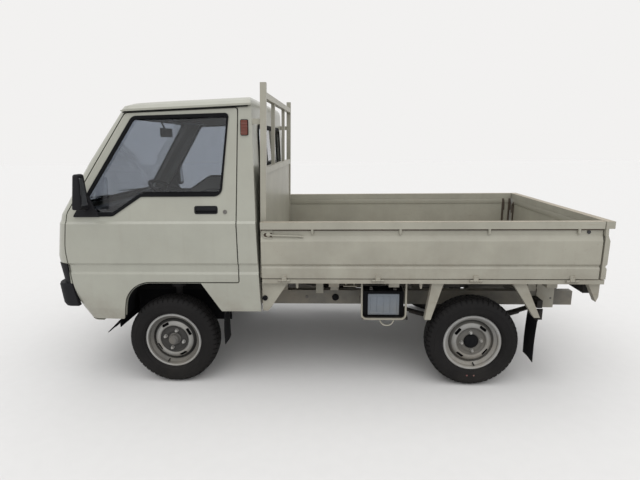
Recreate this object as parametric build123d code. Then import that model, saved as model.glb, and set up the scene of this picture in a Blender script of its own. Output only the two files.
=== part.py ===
from build123d import *
import math
import os

# Kei truck: a cab-over pickup with a drop-side bed and a guard frame behind the cab.
# Millimetres. +X is forward, +Y is the left side, +Z is up. The origin is on the ground,
# under the middle of the length, on the centre plane.

# Driving dimensions of the whole truck
LENGTH = 3195.0
WIDTH = 1395.0
WHEELBASE = 1780.0
TRACK = 1214.0
TYRE_R = 270.0
TYRE_W = 145.0

HALF_L = LENGTH / 2
HALF_W = WIDTH / 2
FRONT_AXLE_X = WHEELBASE / 2
REAR_AXLE_X = -WHEELBASE / 2
WHEEL_Y = TRACK / 2
AXLE_Z = TYRE_R

# Cab: the wall is one thickness all round, in two layers that step at the door openings
CAB_REAR_X = 346.0
CAB_REAR_LEAN = 0.0189
CAB_REAR_FOOT = 470.0
BELT_Z = 1042.0
NOSE_BOW = 5000.0
SKIN = 18.0
FLANGE = 24.0
WALL = 38.0
DOOR_DEPTH = 32.0
REAR_WALL = 26.0
DOOR_GAP = 7.0
DOOR_STEP = 12.0
FLANGE_LAP = 5.0
DRIP_X = 1089.0
DRIP_Z = 1608.0
ROOF_TILT = 2.0

# Bed
BED_FRONT_X = 334.0
TAILGATE_X = -1550.0
GATE_LOW = 672.0
RAIL_LOW = 957.0
RAIL_TOP = 997.0
GATE_THICK = 30.0
BED_TOP = 690.0
DECK_LOW = 642.0

# Drop side and tailgate hinges: axes, places along the sills and sizes
GATE_HINGE_Y = 701.0
GATE_HINGE_Z = 663.0
TAIL_HINGE_X = -1592.0
SIDE_HINGE_X = (204.0, -330.0, -876.0, -1403.0)
TAIL_HINGE_Y = (-470.0, 0.0, 470.0)
BARREL_R = 5.0
PIN_R = 2.4
PIN_HOLE_R = 2.9
BARREL_HALF = 15.0
HINGE_HALF = 34.0
BARREL_END_GAP = 1.5

# Ladder frame
FRAME_LOW = 402.0
FRAME_TOP = 493.0
FRAME_Y = 345.0
FRAME_W = 50.0

# Cab outline by height. Columns: height, nose at the centre line, half width, corner radius.
CAB_SECTIONS = [
    (380, 1420, 660, 78),
    (480, 1478, 681, 90),
    (640, 1564, 691, 90),
    (694, 1562, 693, 90),
    (708, 1561, 686, 88),
    (748, 1567, 687, 88),
    (762, 1579, 697, 92),
    (800, 1582, 697.5, 92),
    (990, 1552, 697, 92),
    (1004, 1545, 689, 88),
    (1040, 1536, 684, 86),
    (1330, 1352, 647, 80),
    (1670, 1104, 603, 70),
]
# The inner surfaces have no creases: only these heights of the table above count for them.
INNER_HEIGHTS = (380, 480, 640, 762, 990, 1040, 1330, 1670)

# Roof by height over the drip rail. Columns: rise, side inset, front inset, rear inset.
ROOF_SECTIONS = [
    (0, 0, 0, 0),
    (12, 2, 2, 1),
    (30, 16, 14, 4),
    (44, 52, 50, 12),
    (53, 120, 120, 26),
    (59, 230, 220, 50),
]

# Bumper by height. Columns: height, nose, half width, corner radius.
BUMPER_SECTIONS = [
    (494, 1578, 682, 68),
    (512, 1588, 687, 72),
    (624, 1597.5, 691, 72),
    (636, 1592, 688, 70),
]

# Door outline from the side. Columns: x, z, corner radius.
DOOR_OUTLINE = [
    (468, 648, 8),
    (468, 1000, 0),
    (446, 1618, 12),
    (1074, 1597, 30),
    (1432, 1050, 60),
    (1461, 850, 300),
    (1446, 640, 0),
    (1430, 505, 60),
    (1410, 412, 24),
    (1173, 408, 10),
    (1121, 648, 170),
]

# Door window from the side. Columns: x, z, corner radius.
DOOR_WINDOW = [
    (548, 1147, 45),
    (498, 1587, 30),
    (1030, 1577, 38),
    (1386, 1035, 12),
    (1168, 1039, 30),
    (1002, 1147, 30),
]

# Fixed cab walls from the side, with the sill and the wheel arch cut away.
# Columns: x, z and, where a corner is round, its radius.
CAB_TRIM_FOOT = [
    (300, 465),
    (578, 465),
    (688, 640),
    (1114.5, 640, 162),
    (1159, 434),
    (1300, 434),
    (1300, 400),
    (1640, 400),
]

SIDE = Plane(origin=(0, 0, 0), x_dir=(1, 0, 0), z_dir=(0, -1, 0))
END = Plane(origin=(0, 0, 0), x_dir=(0, 1, 0), z_dir=(1, 0, 0))
GROUND = Plane.XY
ACROSS = Plane.XZ


def outline(rows):
    """Flat face from rows of two coordinates and, where a corner is round, its radius."""
    points = [(row[0], row[1]) for row in rows]
    radii = [row[2] if len(row) > 2 else 0 for row in rows]
    if max(radii) == 0:
        return Face(Wire(Polyline(*points, close=True).edges()))
    return Face(Wire(FilletPolyline(*points, radius=radii, close=True).edges()))


def raise_face(face, plane, low, high):
    """Prism of a face drawn on a plane, along the world axis that the plane looks along."""
    axis = Vector(0, 1, 0) if plane is SIDE else Vector(1, 0, 0)
    if plane is GROUND:
        axis = Vector(0, 0, 1)
    placed = plane.location * face
    return Solid.extrude(placed, axis * (high - low)).moved(Location(axis * low))


def side_prism(rows, y_low, y_high):
    """Prism across the truck. Rows hold x, z and a corner radius."""
    return raise_face(outline(rows), SIDE, y_low, y_high)


def end_prism(rows, x_low, x_high):
    """Prism along the truck. Rows hold y, z and a corner radius."""
    return raise_face(outline(rows), END, x_low, x_high)


def flat_prism(rows, z_low, z_high):
    """Upright prism. Rows hold x, y and a corner radius."""
    return raise_face(outline(rows), GROUND, z_low, z_high)


def block(x_low, x_high, y_low, y_high, z_low, z_high):
    """Box between two corners."""
    size = (x_high - x_low, y_high - y_low, z_high - z_low)
    middle = ((x_low + x_high) / 2, (y_low + y_high) / 2, (z_low + z_high) / 2)
    return Pos(*middle) * Box(*size)


def rod(start, end, radius):
    """Round bar between two points."""
    run = Vector(*end) - Vector(*start)
    return Solid.make_cylinder(radius, run.length, Plane(origin=start, z_dir=run))


def beam(start, end, width, depth, across=(0, 1, 0)):
    """Flat bar between two points, its width along the direction given."""
    run = Vector(*end) - Vector(*start)
    plane = Plane(origin=start, x_dir=across, z_dir=run)
    face = plane.location * Face.make_rect(width, depth)
    return Solid.extrude(face, run)


def strip(points, thickness):
    """Closed row of points for a sheet that runs along the points, its thickness to the left."""
    normals = []
    for (x_a, z_a), (x_b, z_b) in zip(points, points[1:]):
        run = math.hypot(x_b - x_a, z_b - z_a)
        normals.append((-(z_b - z_a) / run, (x_b - x_a) / run))
    ends = [normals[0]] + normals + [normals[-1]]
    offset_points = []
    for (x, z), first, second in zip(points, ends, ends[1:]):
        scale = thickness / (1 + first[0] * second[0] + first[1] * second[1])
        offset_points.append((x + (first[0] + second[0]) * scale, z + (first[1] + second[1]) * scale))
    return list(points) + offset_points[::-1]


def turned(rows, centre_x, centre_y, centre_z):
    """Ring turned about an axis that runs across the truck. Rows hold offset along Y and radius."""
    face = Face(Wire(Polyline(*rows, close=True).edges()))
    placed = Plane(origin=(centre_x, centre_y, centre_z), x_dir=(0, 1, 0), z_dir=(1, 0, 0)).location * face
    return revolve(placed, axis=Axis((centre_x, centre_y, centre_z), (0, 1, 0)))


def fuse(shapes):
    """Join a list of overlapping or touching shapes."""
    first, *others = shapes
    for other in others:
        first = first + other
    return first


def both_sides(shape):
    """The shape and its mirror image over the centre plane."""
    return [shape, mirror(shape, about=ACROSS)]


def save(node, *shapes):
    """Write one node; its solids stay apart."""
    solids = [solid for shape in shapes for solid in shape.solids()]
    export_step(Compound(solids) if len(solids) > 1 else solids[0], f"parts/{node}.step")


# Cab surfaces

def rear_x(height):
    """Outside of the leaning rear wall at a height."""
    return CAB_REAR_X + (height - CAB_REAR_FOOT) * CAB_REAR_LEAN


def plan_face(height, nose, half, corner, back, bow=NOSE_BOW):
    """Plan of a body at one height: straight sides, two round corners and a bowed nose."""
    corner_y = half - corner
    bow_x = nose - bow
    corner_x = bow_x + math.sqrt((bow - corner) ** 2 - corner_y ** 2)
    reach = bow / (bow - corner)
    meet = (bow_x + (corner_x - bow_x) * reach, corner_y * reach)
    turn = math.atan2(meet[1] - corner_y, meet[0] - corner_x)
    half_turn = (turn + math.pi / 2) / 2
    middle = (corner_x + corner * math.cos(half_turn), corner_y + corner * math.sin(half_turn))
    edges = [
        Edge.make_line((back, -half, height), (corner_x, -half, height)),
        Edge.make_three_point_arc(
            (corner_x, -half, height), (middle[0], -middle[1], height), (meet[0], -meet[1], height)),
        Edge.make_three_point_arc(
            (meet[0], -meet[1], height), (nose, 0, height), (meet[0], meet[1], height)),
        Edge.make_three_point_arc(
            (meet[0], meet[1], height), (middle[0], middle[1], height), (corner_x, half, height)),
        Edge.make_line((corner_x, half, height), (back, half, height)),
        Edge.make_line((back, half, height), (back, -half, height)),
    ]
    return Face(Wire(edges))


def cab_body(depth, rear_depth=0.0):
    """Solid inside the cab's outer surface, moved in by a depth."""
    faces = []
    for height, nose, half, corner in CAB_SECTIONS:
        if depth > 0 and height not in INNER_HEIGHTS:
            continue
        lean = 1.2 if height > BELT_Z else 1.0
        faces.append(plan_face(
            height, nose - depth * lean, half - depth, max(corner - depth, 20.0),
            rear_x(height) + rear_depth))
    return Solid.make_loft([face.outer_wire() for face in faces], ruled=True)


def drip_z(x):
    """Height of the drip rail over a place along the truck."""
    return DRIP_Z + (DRIP_X - x) * math.tan(math.radians(ROOF_TILT))


def grown(rows, amount):
    """The face of an outline, larger or smaller all round."""
    return offset(outline(rows), amount=amount, kind=Kind.INTERSECTION).face()


CAB_OUT = cab_body(0)
CAB_SKIN = cab_body(SKIN, -40)
CAB_FLANGE = cab_body(FLANGE, REAR_WALL)
CAB_IN = cab_body(WALL, REAR_WALL)

WINDSCREEN = [(-592, 1068, 50), (592, 1068, 50), (530, 1590, 55), (-530, 1590, 55)]
WINDSCREEN_RUN = (900.0, 1640.0)
REAR_WINDOW = [(-470, 1170, 50), (470, 1170, 50), (455, 1530, 50), (-455, 1530, 50)]
REAR_WINDOW_RUN = (300.0, 460.0)
GLASS_SET_IN = 7.0
FRONT_ZONE = [(1300, 380), (1640, 380), (1640, BELT_Z), (1395, BELT_Z), (1395, 700), (1300, 600)]
GLASS_THICK = 5.0


def cab_shell():
    """Fixed walls of the cab, with the door openings stepped and the foot trimmed."""
    trim_rows = CAB_TRIM_FOOT + [(1640, drip_z(1640)), (300, drip_z(300))]
    trim = side_prism(trim_rows, -HALF_W - 60, HALF_W + 60)
    opening = raise_face(grown(DOOR_OUTLINE, DOOR_GAP), SIDE, -HALF_W - 60, HALF_W + 60)
    flange_opening = raise_face(grown(DOOR_OUTLINE, -FLANGE_LAP), SIDE, -HALF_W - 60, HALF_W + 60)
    outer_layer = CAB_OUT - CAB_FLANGE - opening
    front = side_prism(FRONT_ZONE, -HALF_W - 60, HALF_W + 60)
    inner_layer = CAB_FLANGE - CAB_IN - flange_opening - (opening & front)
    shell = (outer_layer + inner_layer) & trim
    shell = shell - end_prism(WINDSCREEN, *WINDSCREEN_RUN)
    return shell - end_prism(REAR_WINDOW, *REAR_WINDOW_RUN)


REAR_PANEL_HALF = 626.0


def rear_zone():
    """Space of the rear wall between the side walls."""
    rows = [
        (300, 380),
        (rear_x(380) + REAR_WALL, 380),
        (rear_x(1700) + REAR_WALL, 1700),
        (300, 1700),
    ]
    return side_prism(rows, -REAR_PANEL_HALF, REAR_PANEL_HALF)


REAR_WALL_FOOT = 500.0


def bumper_body(depth):
    """Solid inside the bumper's surface, moved in by a depth and cut on the line of its ends."""
    faces = []
    for height, nose, half, corner in BUMPER_SECTIONS:
        faces.append(plan_face(height, nose - depth, half - depth, corner - depth, 1200))
    return Solid.make_loft([face.outer_wire() for face in faces], ruled=True)


BUMPER_THICK = 30.0
BUMPER_END = [(1460, 700), (1700, 700), (1700, 440), (1433, 440), (1433, 494), (1457, 664)]


def front_bumper():
    """Wrap-round bumper, open behind, with slots for air and a tow eye opening."""
    shell = bumper_body(0) - bumper_body(BUMPER_THICK)
    shell = shell & side_prism(BUMPER_END, -HALF_W, HALF_W)
    slot = end_prism([(-250, 540, 14), (250, 540, 14), (250, 580, 14), (-250, 580, 14)], 1500, 1620)
    return shell - slot


LAMP_BAND = (636.0, 756.0)
GARNISH_DEPTH = 22.0
GARNISH_PROUD = 3.0
LAMP_Y = (340.0, 560.0)
BLINKER_Y = (568.0, 640.0)
GARNISH_END_X = 1462.0


def lamp_band():
    """Band across the nose that the garnish and the lamps fill."""
    low, high = LAMP_BAND
    rows = [(GARNISH_END_X, low), (1640, low), (1640, high), (GARNISH_END_X, high)]
    return side_prism(rows, -HALF_W - 20, HALF_W + 20)


def garnish_layer():
    """Sheet that follows the nose, a little proud of it."""
    return cab_plain(-GARNISH_PROUD) - cab_plain(GARNISH_DEPTH)


def cab_plain(depth):
    """Cab surface without its creases, moved in by a depth."""
    faces = []
    for height, nose, half, corner in CAB_SECTIONS:
        if height in INNER_HEIGHTS:
            faces.append(plan_face(height, nose - depth, half - depth, corner - depth, rear_x(height)))
    return Solid.make_loft([face.outer_wire() for face in faces], ruled=True)


def lamp_box(y_low, y_high, margin):
    """Window of a lamp in the band."""
    low, high = LAMP_BAND
    rows = [(y_low, low + margin, 6), (y_high, low + margin, 6),
            (y_high, high - margin, 6), (y_low, high - margin, 6)]
    return end_prism(rows, 1400, 1640)


def nose_lamps():
    """Garnish, headlamps and blinkers, each cut from the same band."""
    band = garnish_layer() & lamp_band()
    headlamp_windows = []
    blinker_windows = []
    for side in (1, -1):
        head = sorted((side * LAMP_Y[0], side * LAMP_Y[1]))
        blink = sorted((side * BLINKER_Y[0], side * BLINKER_Y[1]))
        headlamp_windows.append(lamp_box(head[0], head[1], 6))
        blinker_windows.append(lamp_box(blink[0], blink[1], 6))
    headlamps = [band & window for window in headlamp_windows]
    blinkers = [band & window for window in blinker_windows]
    garnish = band
    for window in headlamp_windows + blinker_windows:
        garnish = garnish - window
    return garnish, headlamps, blinkers


def make_cab():
    """Front panel, pillars, rear wall, glass, roof, bumper and lamps."""
    shell = cab_shell()
    front = shell & side_prism(FRONT_ZONE, -HALF_W - 60, HALF_W + 60)
    back = (shell & rear_zone()) - block(300, 460, -700, 700, 300, REAR_WALL_FOOT)
    pillars = shell - side_prism(FRONT_ZONE, -HALF_W - 60, HALF_W + 60) - rear_zone()
    bumper = front_bumper()
    garnish, headlamps, blinkers = nose_lamps()
    front = front - (bumper_body(-1) - bumper_body(BUMPER_THICK + 1))
    front = front - (garnish_layer() & lamp_band())
    save("front_panel", front)
    save("cab_pillars", pillars)
    save("rear_wall", back)
    save("front_bumper", bumper)
    save("front_garnish", garnish)
    save("headlamps", *headlamps)
    side_markers = both_sides(side_marker())
    save("amber_lamps", *blinkers, *side_markers)
    pane = cab_body(GLASS_SET_IN) - cab_body(GLASS_SET_IN + GLASS_THICK)
    windscreen = pane & end_prism(WINDSCREEN, *WINDSCREEN_RUN)
    rows = [
        (rear_x(1100) + 10, 1100),
        (rear_x(1100) + 15, 1100),
        (rear_x(1600) + 15, 1600),
        (rear_x(1600) + 10, 1600),
    ]
    back_light = side_prism(rows, -500, 500) & end_prism(REAR_WINDOW, *REAR_WINDOW_RUN)
    save("cab_glass", windscreen, back_light)
    save("roof", roof())


def side_marker():
    """Small lamp high on the pillar behind the door."""
    rows = [(389, 1474, 6), (426, 1474, 6), (426, 1553, 6), (389, 1553, 6)]
    layer = cab_body(-10) - CAB_OUT
    return side_prism(rows, 560, 720) & layer


def roof_body(inset, drop):
    """Solid under the roof's surface, moved in and down."""
    faces = []
    for rise, side_in, front_in, rear_in in ROOF_SECTIONS:
        faces.append(plan_face(
            rise - drop, 1148 - inset - front_in, 612 - inset - side_in, 72 - inset / 2 + side_in / 4,
            rear_x(DRIP_Z) + inset + rear_in))
    return Solid.make_loft([face.outer_wire() for face in faces], ruled=True)


ROOF_WALL = 24.0


def roof():
    """Crowned roof panel with a drip rail along each side."""
    shell = roof_body(0, 0) - roof_body(ROOF_WALL, ROOF_WALL)
    foot = roof_body(ROOF_WALL, 0) & block(0, 1400, -700, 700, -1, 2)
    shell = shell - foot
    for side in (1, -1):
        near, far = sorted((side * 604, side * 624))
        shell = shell + block(rear_x(DRIP_Z) + 4, 1092, near, far, 0, 6)
    return Pos(DRIP_X, 0, DRIP_Z) * Rot(0, ROOF_TILT, 0) * Pos(-DRIP_X, 0, 0) * shell


# Doors

def make_doors():
    """Left and right door, each a stepped panel with its window cut, glass and mirror."""
    inner_rows = grown(DOOR_OUTLINE, -DOOR_STEP)
    outer = (CAB_OUT - CAB_SKIN) & side_prism(DOOR_OUTLINE, 500, 760)
    inner = (CAB_SKIN - cab_body(DOOR_DEPTH, -60)) & raise_face(inner_rows, SIDE, 500, 760)
    panel = outer + inner
    window = side_prism(DOOR_WINDOW, 500, 760)
    panel = panel - window
    recess = side_prism([(570, 1047, 10), (696, 1047, 10), (696, 1086, 10), (570, 1086, 10)], 500, 760)
    panel = panel - (recess & (CAB_OUT - cab_body(14, -60)))
    pane = (cab_body(12, -60) - cab_body(16, -60)) & window
    for side, left in (("left", True), ("right", False)):
        shapes = {"door": panel, "door_glass": pane, "mirror": door_mirror(panel)}
        for name, shape in shapes.items():
            save(f"{name}_{side}", shape if left else mirror(shape, about=ACROSS))


# Mirror head by height. Columns: height, middle along the truck, depth, width across.
MIRROR_SECTIONS = [
    (1064, 1275, 40, 104),
    (1277, 1293, 32, 70),
]
MIRROR_Y = 770.0


def door_mirror(panel):
    """Mirror on a triangular foot in the window's front corner."""
    sections = []
    for height, x, deep, wide in MIRROR_SECTIONS:
        middle = Plane(origin=(x, MIRROR_Y, height), x_dir=(1, 0, 0), z_dir=(0, 0, 1))
        sections.append((middle.location * Face.make_rect(deep, wide)).outer_wire())
    head = Solid.make_loft(sections, ruled=True)
    head = fillet(head.edges(), 10)
    foot = side_prism([(1262, 1038, 4), (1384, 1038, 8), (1316, 1142, 8)], 640, 700) - cab_body(12, -60)
    arm = beam((1318, 688, 1080), (1284, 760, 1110), 34, 26)
    return (foot + arm + head) - panel


# Cab inside

FLOOR_T = 10.0
FLOOR_Z = 520.0
FLOOR_HALF = 634.0
WELL_TOP = 650.0
SEAT_BASE_Z = 770.0
WELL_Y = 375.0


def cab_floor():
    """Footwell, wheel houses and seat base of sheet, standing on the frame rails."""
    top = FLOOR_Z + FLOOR_T
    seat_top = SEAT_BASE_Z + FLOOR_T
    plan = [(380, -FLOOR_HALF), (1370, -FLOOR_HALF), (1418, -560), (1440, -300), (1440, 300), (1418, 560),
            (1370, FLOOR_HALF), (380, FLOOR_HALF)]
    rows = [(380, 500), (380, seat_top), (1000, seat_top), (1050, top), (1500, top), (1500, FLOOR_Z),
            (1230, FLOOR_Z), (1215, 500)]
    floor = side_prism(rows, -FLOOR_HALF, FLOOR_HALF) & flat_prism(plan, 400, 900)
    bay = [(390, 400), (390, SEAT_BASE_Z), (991, SEAT_BASE_Z), (1041, FLOOR_Z), (1250, FLOOR_Z), (1250, 400)]
    floor = floor - side_prism(bay, -WELL_Y, WELL_Y)
    floor = floor - block(400, 980, -FLOOR_HALF + 12, FLOOR_HALF - 12, WELL_TOP + FLOOR_T, SEAT_BASE_Z)
    well = [(370, 400), (370, WELL_TOP), (1142, WELL_TOP), (1206, 505), (1206, 400)]
    house = [(1000, 600), (1000, WELL_TOP + FLOOR_T), (1150, WELL_TOP + FLOOR_T), (1222, top - 2), (1222, 505)]
    for side in (1, -1):
        near, far = sorted((side * WELL_Y, side * FLOOR_HALF))
        floor = floor + side_prism(house, near, far)
        near, far = sorted((side * (WELL_Y + FLOOR_T), side * (FLOOR_HALF + 20)))
        floor = floor - side_prism(well, near, far)
        near, far = sorted((side * (FRAME_Y - 20), side * (FRAME_Y + 20)))
        floor = floor + block(1262, 1322, near, far, FRAME_TOP, FLOOR_Z)
    return floor


def dashboard():
    """Dashboard across the cab with a binnacle before the driver."""
    rows = [(1330, 860, 10), (1490, 860, 0), (1490, 1000, 0), (1470, 1040, 10), (1340, 1048, 20)]
    body = side_prism(rows, -600, 600)
    binnacle = side_prism([(1325, 960, 10), (1420, 960, 0), (1420, 1075, 10), (1350, 1085, 14)], -490, -180)
    return (body + binnacle) & CAB_IN


STEER_CENTRE = (1215.0, -340.0, 1060.0)
STEER_LEAN = 30.0
STEER_R = 185.0


def steering_wheel():
    """Two-spoke wheel and hub, square to its column."""
    ring = Torus(STEER_R - 13, 13)
    hub = Pos(0, 0, -8) * Cylinder(34, 36)
    spokes = [Rot(0, 0, turn) * Pos((STEER_R - 13) / 2, 0, -4) * Box(STEER_R - 13, 28, 10)
              for turn in (100, 180, 260)]
    wheel = fuse([ring, hub] + spokes)
    return Pos(*STEER_CENTRE) * Rot(0, -STEER_LEAN, 0) * wheel


def column():
    """Steering column from under the wheel into the dashboard."""
    x, y, z = STEER_CENTRE
    lean = math.radians(STEER_LEAN)
    down = Vector(math.sin(lean), 0, -math.cos(lean))
    start = Vector(x, y, z) + down * 31
    return rod(tuple(start), tuple(start + down * 300), 24)


def seats():
    """Two seats, each a cushion with a back and a headrest."""
    shapes = []
    profile_base = [(570, 785, 20), (1000, 785, 30), (1010, 880, 40), (560, 868, 10)]
    profile_back = [(470, 800, 20), (590, 860, 20), (480, 1320, 30), (400, 1310, 30)]
    profile_head = [(412, 1300, 20), (472, 1300, 20), (462, 1440, 26), (400, 1440, 26)]
    for low, high in ((70, 590), (-590, -70)):
        middle = (low + high) / 2
        base = side_prism(profile_base, low, high)
        back = side_prism(profile_back, low + 10, high - 10)
        head = side_prism(profile_head, middle - 120, middle + 120)
        shapes.append(base + back + head)
    return shapes


# Wipers. Columns: pivot y, tip y.
WIPER_ROWS = [(-60, 380), (-520, -80)]
WIPER_R = 5.0


def nose_point(height, y, proud):
    """Point on the bowed nose at a height and a place across, moved out forward."""
    low, high = [(a, b) for a, b in zip(CAB_SECTIONS, CAB_SECTIONS[1:]) if a[0] <= height <= b[0]][0]
    share = (height - low[0]) / (high[0] - low[0])
    nose = low[1] + (high[1] - low[1]) * share
    return (nose - NOSE_BOW + math.sqrt(NOSE_BOW ** 2 - y ** 2) + proud, y, height)


def wipers():
    """Two wiper arms from their pivots on the cowl, lying along the windscreen."""
    shapes = []
    for pivot_y, tip_y in WIPER_ROWS:
        pivot = nose_point(1054, pivot_y, 8)
        heel = nose_point(1054, pivot_y, -10)
        tip = nose_point(1100, tip_y, 10)
        shapes.append((rod(heel, pivot, 9) + Pos(*pivot) * Sphere(9) + rod(pivot, tip, WIPER_R)) - CAB_OUT)
    return shapes


# Wheels

RIM_ROWS = [(51, 169.5), (51, 150), (34, 150), (24, 136), (-18, 136), (-28, 150), (-51, 150), (-51, 169.5)]
RIM_T = 4.0


def rim(x, side, cap_radius, cap_reach):
    """Steel rim with its disc, vent slots, centre cap and brake drum, turned about the axle."""
    barrel = turned(strip(RIM_ROWS[::-1], RIM_T), 0, 0, 0)
    disc = turned(strip([(6, 135), (20, 122), (38, 104), (40, 92), (30, 76), (30, 20)], RIM_T), 0, 0, 0)
    cap = turned([(20, 0), (20, cap_radius), (34, cap_radius), (34 + cap_reach * 0.8, cap_radius * 0.9),
                  (34 + cap_reach, cap_radius * 0.6), (34 + cap_reach, 0)], 0, 0, 0)
    drum = turned([(-34, 16), (-34, 92), (-26, 96), (24, 96), (30, 88), (30, 16)], 0, 0, 0)
    wheel = barrel + disc + cap + drum
    for turn in (45, 135, 225, 315):
        slot = Rot(0, turn, 0) * Pos(113, 20, 0) * Box(13, 60, 36)
        wheel = wheel - (slot & turned([(10, 98), (10, 130), (60, 130), (60, 98)], 0, 0, 0))
    if side < 0:
        wheel = mirror(wheel, about=ACROSS)
    return Pos(x, side * WHEEL_Y, AXLE_Z) * wheel


def tyre(x, side):
    """Tyre as a hollow ring on the bead seats, with a rounded shoulder."""
    half = TYRE_W / 2
    rows = [(47, 154), (47, 171), (58, 180), (half - 2, 192), (half, 208), (half - 3, 234), (half - 12, 256),
            (half - 28, 266), (0, TYRE_R)]
    outer = rows + [(-y, r) for y, r in rows[-2::-1]]
    inner = [(36, 154), (37, 172), (50, 185), (half - 12, 197), (half - 10, 210), (half - 13, 234),
             (half - 25, 251), (0, TYRE_R - 13)]
    lining = inner + [(-y, r) for y, r in inner[-2::-1]]
    return turned(outer + lining[::-1], x, side * WHEEL_Y, AXLE_Z)


KING_LOW = (540.0, 175.0)
KING_HIGH = (488.0, 640.0)


def king_point(height):
    """Point on the left king pin's axis at a height."""
    share = (height - KING_LOW[1]) / (KING_HIGH[1] - KING_LOW[1])
    return (FRONT_AXLE_X, KING_LOW[0] + (KING_HIGH[0] - KING_LOW[0]) * share, height)


def knuckle(side):
    """Steering knuckle with spindle, backing plate, strut and spring; turns with the wheel."""
    x = FRONT_AXLE_X
    carrier = block(x - 28, x + 28, 488, 562, 238, 302)
    upright = block(x - 20, x + 20, 488, 520, 238, 420)
    foot = block(x - 22, x + 22, 505, 560, 196, 240)
    stud = rod(king_point(178), king_point(202), 10)
    spindle = rod((x, 555, AXLE_Z), (x, WHEEL_Y + 15, AXLE_Z), 15)
    plate = rod((x, 562, AXLE_Z), (x, 568, AXLE_Z), 104)
    strut = rod((x, 503, 400), (x, 492, 572), 20)
    spring = rod((x, 493, 564), (x, 488.5, 636), 44)
    arm = beam((x, 500, 262), (x + 118, 500, 262), 26, 18)
    shape = fuse([carrier, upright, foot, stud, spindle, plate, strut, spring, arm])
    return shape if side > 0 else mirror(shape, about=ACROSS)


def make_wheels():
    """Four wheels and two knuckles."""
    for name, x, side, cap_radius, cap_reach in (
            ("front_left", FRONT_AXLE_X, 1, 28, 34),
            ("front_right", FRONT_AXLE_X, -1, 28, 34),
            ("rear_left", REAR_AXLE_X, 1, 48, 14),
            ("rear_right", REAR_AXLE_X, -1, 48, 14)):
        save(f"rim_{name}", rim(x, side, cap_radius, cap_reach))
        save(f"tyre_{name}", tyre(x, side))
    save("knuckle_left", knuckle(1))
    save("knuckle_right", knuckle(-1))


# Frame and running gear

FRAME_REAR_X = -1585.0
FRAME_FRONT_X = 1335.0


def frame_rails():
    """Two channel rails, open towards the middle."""
    inner = FRAME_Y - FRAME_W / 2
    outer = FRAME_Y + FRAME_W / 2
    wall = 6.0
    rows = [(outer, FRAME_LOW), (outer, FRAME_TOP), (inner, FRAME_TOP), (inner, FRAME_TOP - wall),
            (outer - wall, FRAME_TOP - wall), (outer - wall, FRAME_LOW + wall), (inner, FRAME_LOW + wall),
            (inner, FRAME_LOW)]
    return both_sides(end_prism(rows, FRAME_REAR_X, FRAME_FRONT_X))


CROSS_MEMBER_X = (-1520.0, -1290.0, -620.0, -60.0, 1310.0)
EYE_R = 15.0
FRONT_EYE = (1372.0, 0.0, 366.0)
REAR_EYE = (-1560.0, 0.0, 366.0)
# Plates that carry the eyes, from the side. Columns: x, z.
FRONT_EYE_PLATE = [(1335, 422), (1335, 440), (1372, 394), (1372, 338)]
REAR_EYE_PLATE = [(-1500, 430), (-1545, 430), (-1587, 372), (-1533, 360)]


def tow_eye(centre, rows):
    """Plate with a hole for a shackle, on the end cross member."""
    x, y, z = centre
    plate = side_prism(rows, -8, 8) + rod((x, -8, z), (x, 8, z), 28)
    return plate - rod((x, -20, z), (x, 20, z), EYE_R)


def cross_members():
    """Tubes between the rails, with a tow eye on the first and the last."""
    inner = FRAME_Y - FRAME_W / 2
    tubes = [block(x - 25, x + 25, -inner, inner, 422, 472) for x in CROSS_MEMBER_X]
    tubes[0] = tubes[0] + tow_eye(REAR_EYE, REAR_EYE_PLATE)
    tubes[-1] = tubes[-1] + tow_eye(FRONT_EYE, FRONT_EYE_PLATE)
    return tubes


def engine():
    """Engine and gearbox as one plain block under the seats."""
    block_rows = [(960, 300, 20), (960, 620, 20), (520, 660, 20), (470, 600, 10), (470, 300, 20)]
    body = side_prism(block_rows, -200, 200)
    gearbox = side_prism([(480, 330, 0), (480, 500, 0), (20, 430, 10), (20, 350, 10)], -110, 110)
    return body + gearbox


def propeller_shaft():
    """Shaft from the gearbox to the rear axle."""
    shaft = rod((24, 0, 390.5), (REAR_AXLE_X + 120, 0, AXLE_Z + 11.5), 30)
    return shaft & block(REAR_AXLE_X + 124, 20, -60, 60, 200, 500)


SPRING_Y = 430.0
SPRING_SPAN = 460.0
SPRING_LOW = 305.0
LEAF_T = 8.0
LEAF_SPANS = (1.0, 0.74, 0.5, 0.28)


def rear_axle():
    """Axle tube, differential housing and backing plates."""
    x = REAR_AXLE_X
    tube = rod((x, -560, AXLE_Z), (x, 560, AXLE_Z), 32)
    stub = rod((x, -WHEEL_Y - 15, AXLE_Z), (x, WHEEL_Y + 15, AXLE_Z), 15)
    house = Pos(x, 0, AXLE_Z) * Rot(90, 0, 0) * Sphere(112)
    house = house & block(x - 120, x + 120, -96, 96, 100, 500)
    nose = rod((x + 60, 0, AXLE_Z + 12), (x + 124, 0, AXLE_Z + 12), 46)
    plates = [rod((x, side * 562, AXLE_Z), (x, side * 568, AXLE_Z), 104) for side in (1, -1)]
    necks = [rod((x, side * 540, AXLE_Z), (x, side * 564, AXLE_Z), 48) for side in (1, -1)]
    pads = []
    for side in (1, -1):
        near, far = sorted((side * (SPRING_Y - 28), side * (SPRING_Y + 28)))
        pads.append(block(x - 42, x + 42, near, far, AXLE_Z, SPRING_LOW))
    return fuse([tube, stub, house, nose] + plates + necks + pads)


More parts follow.
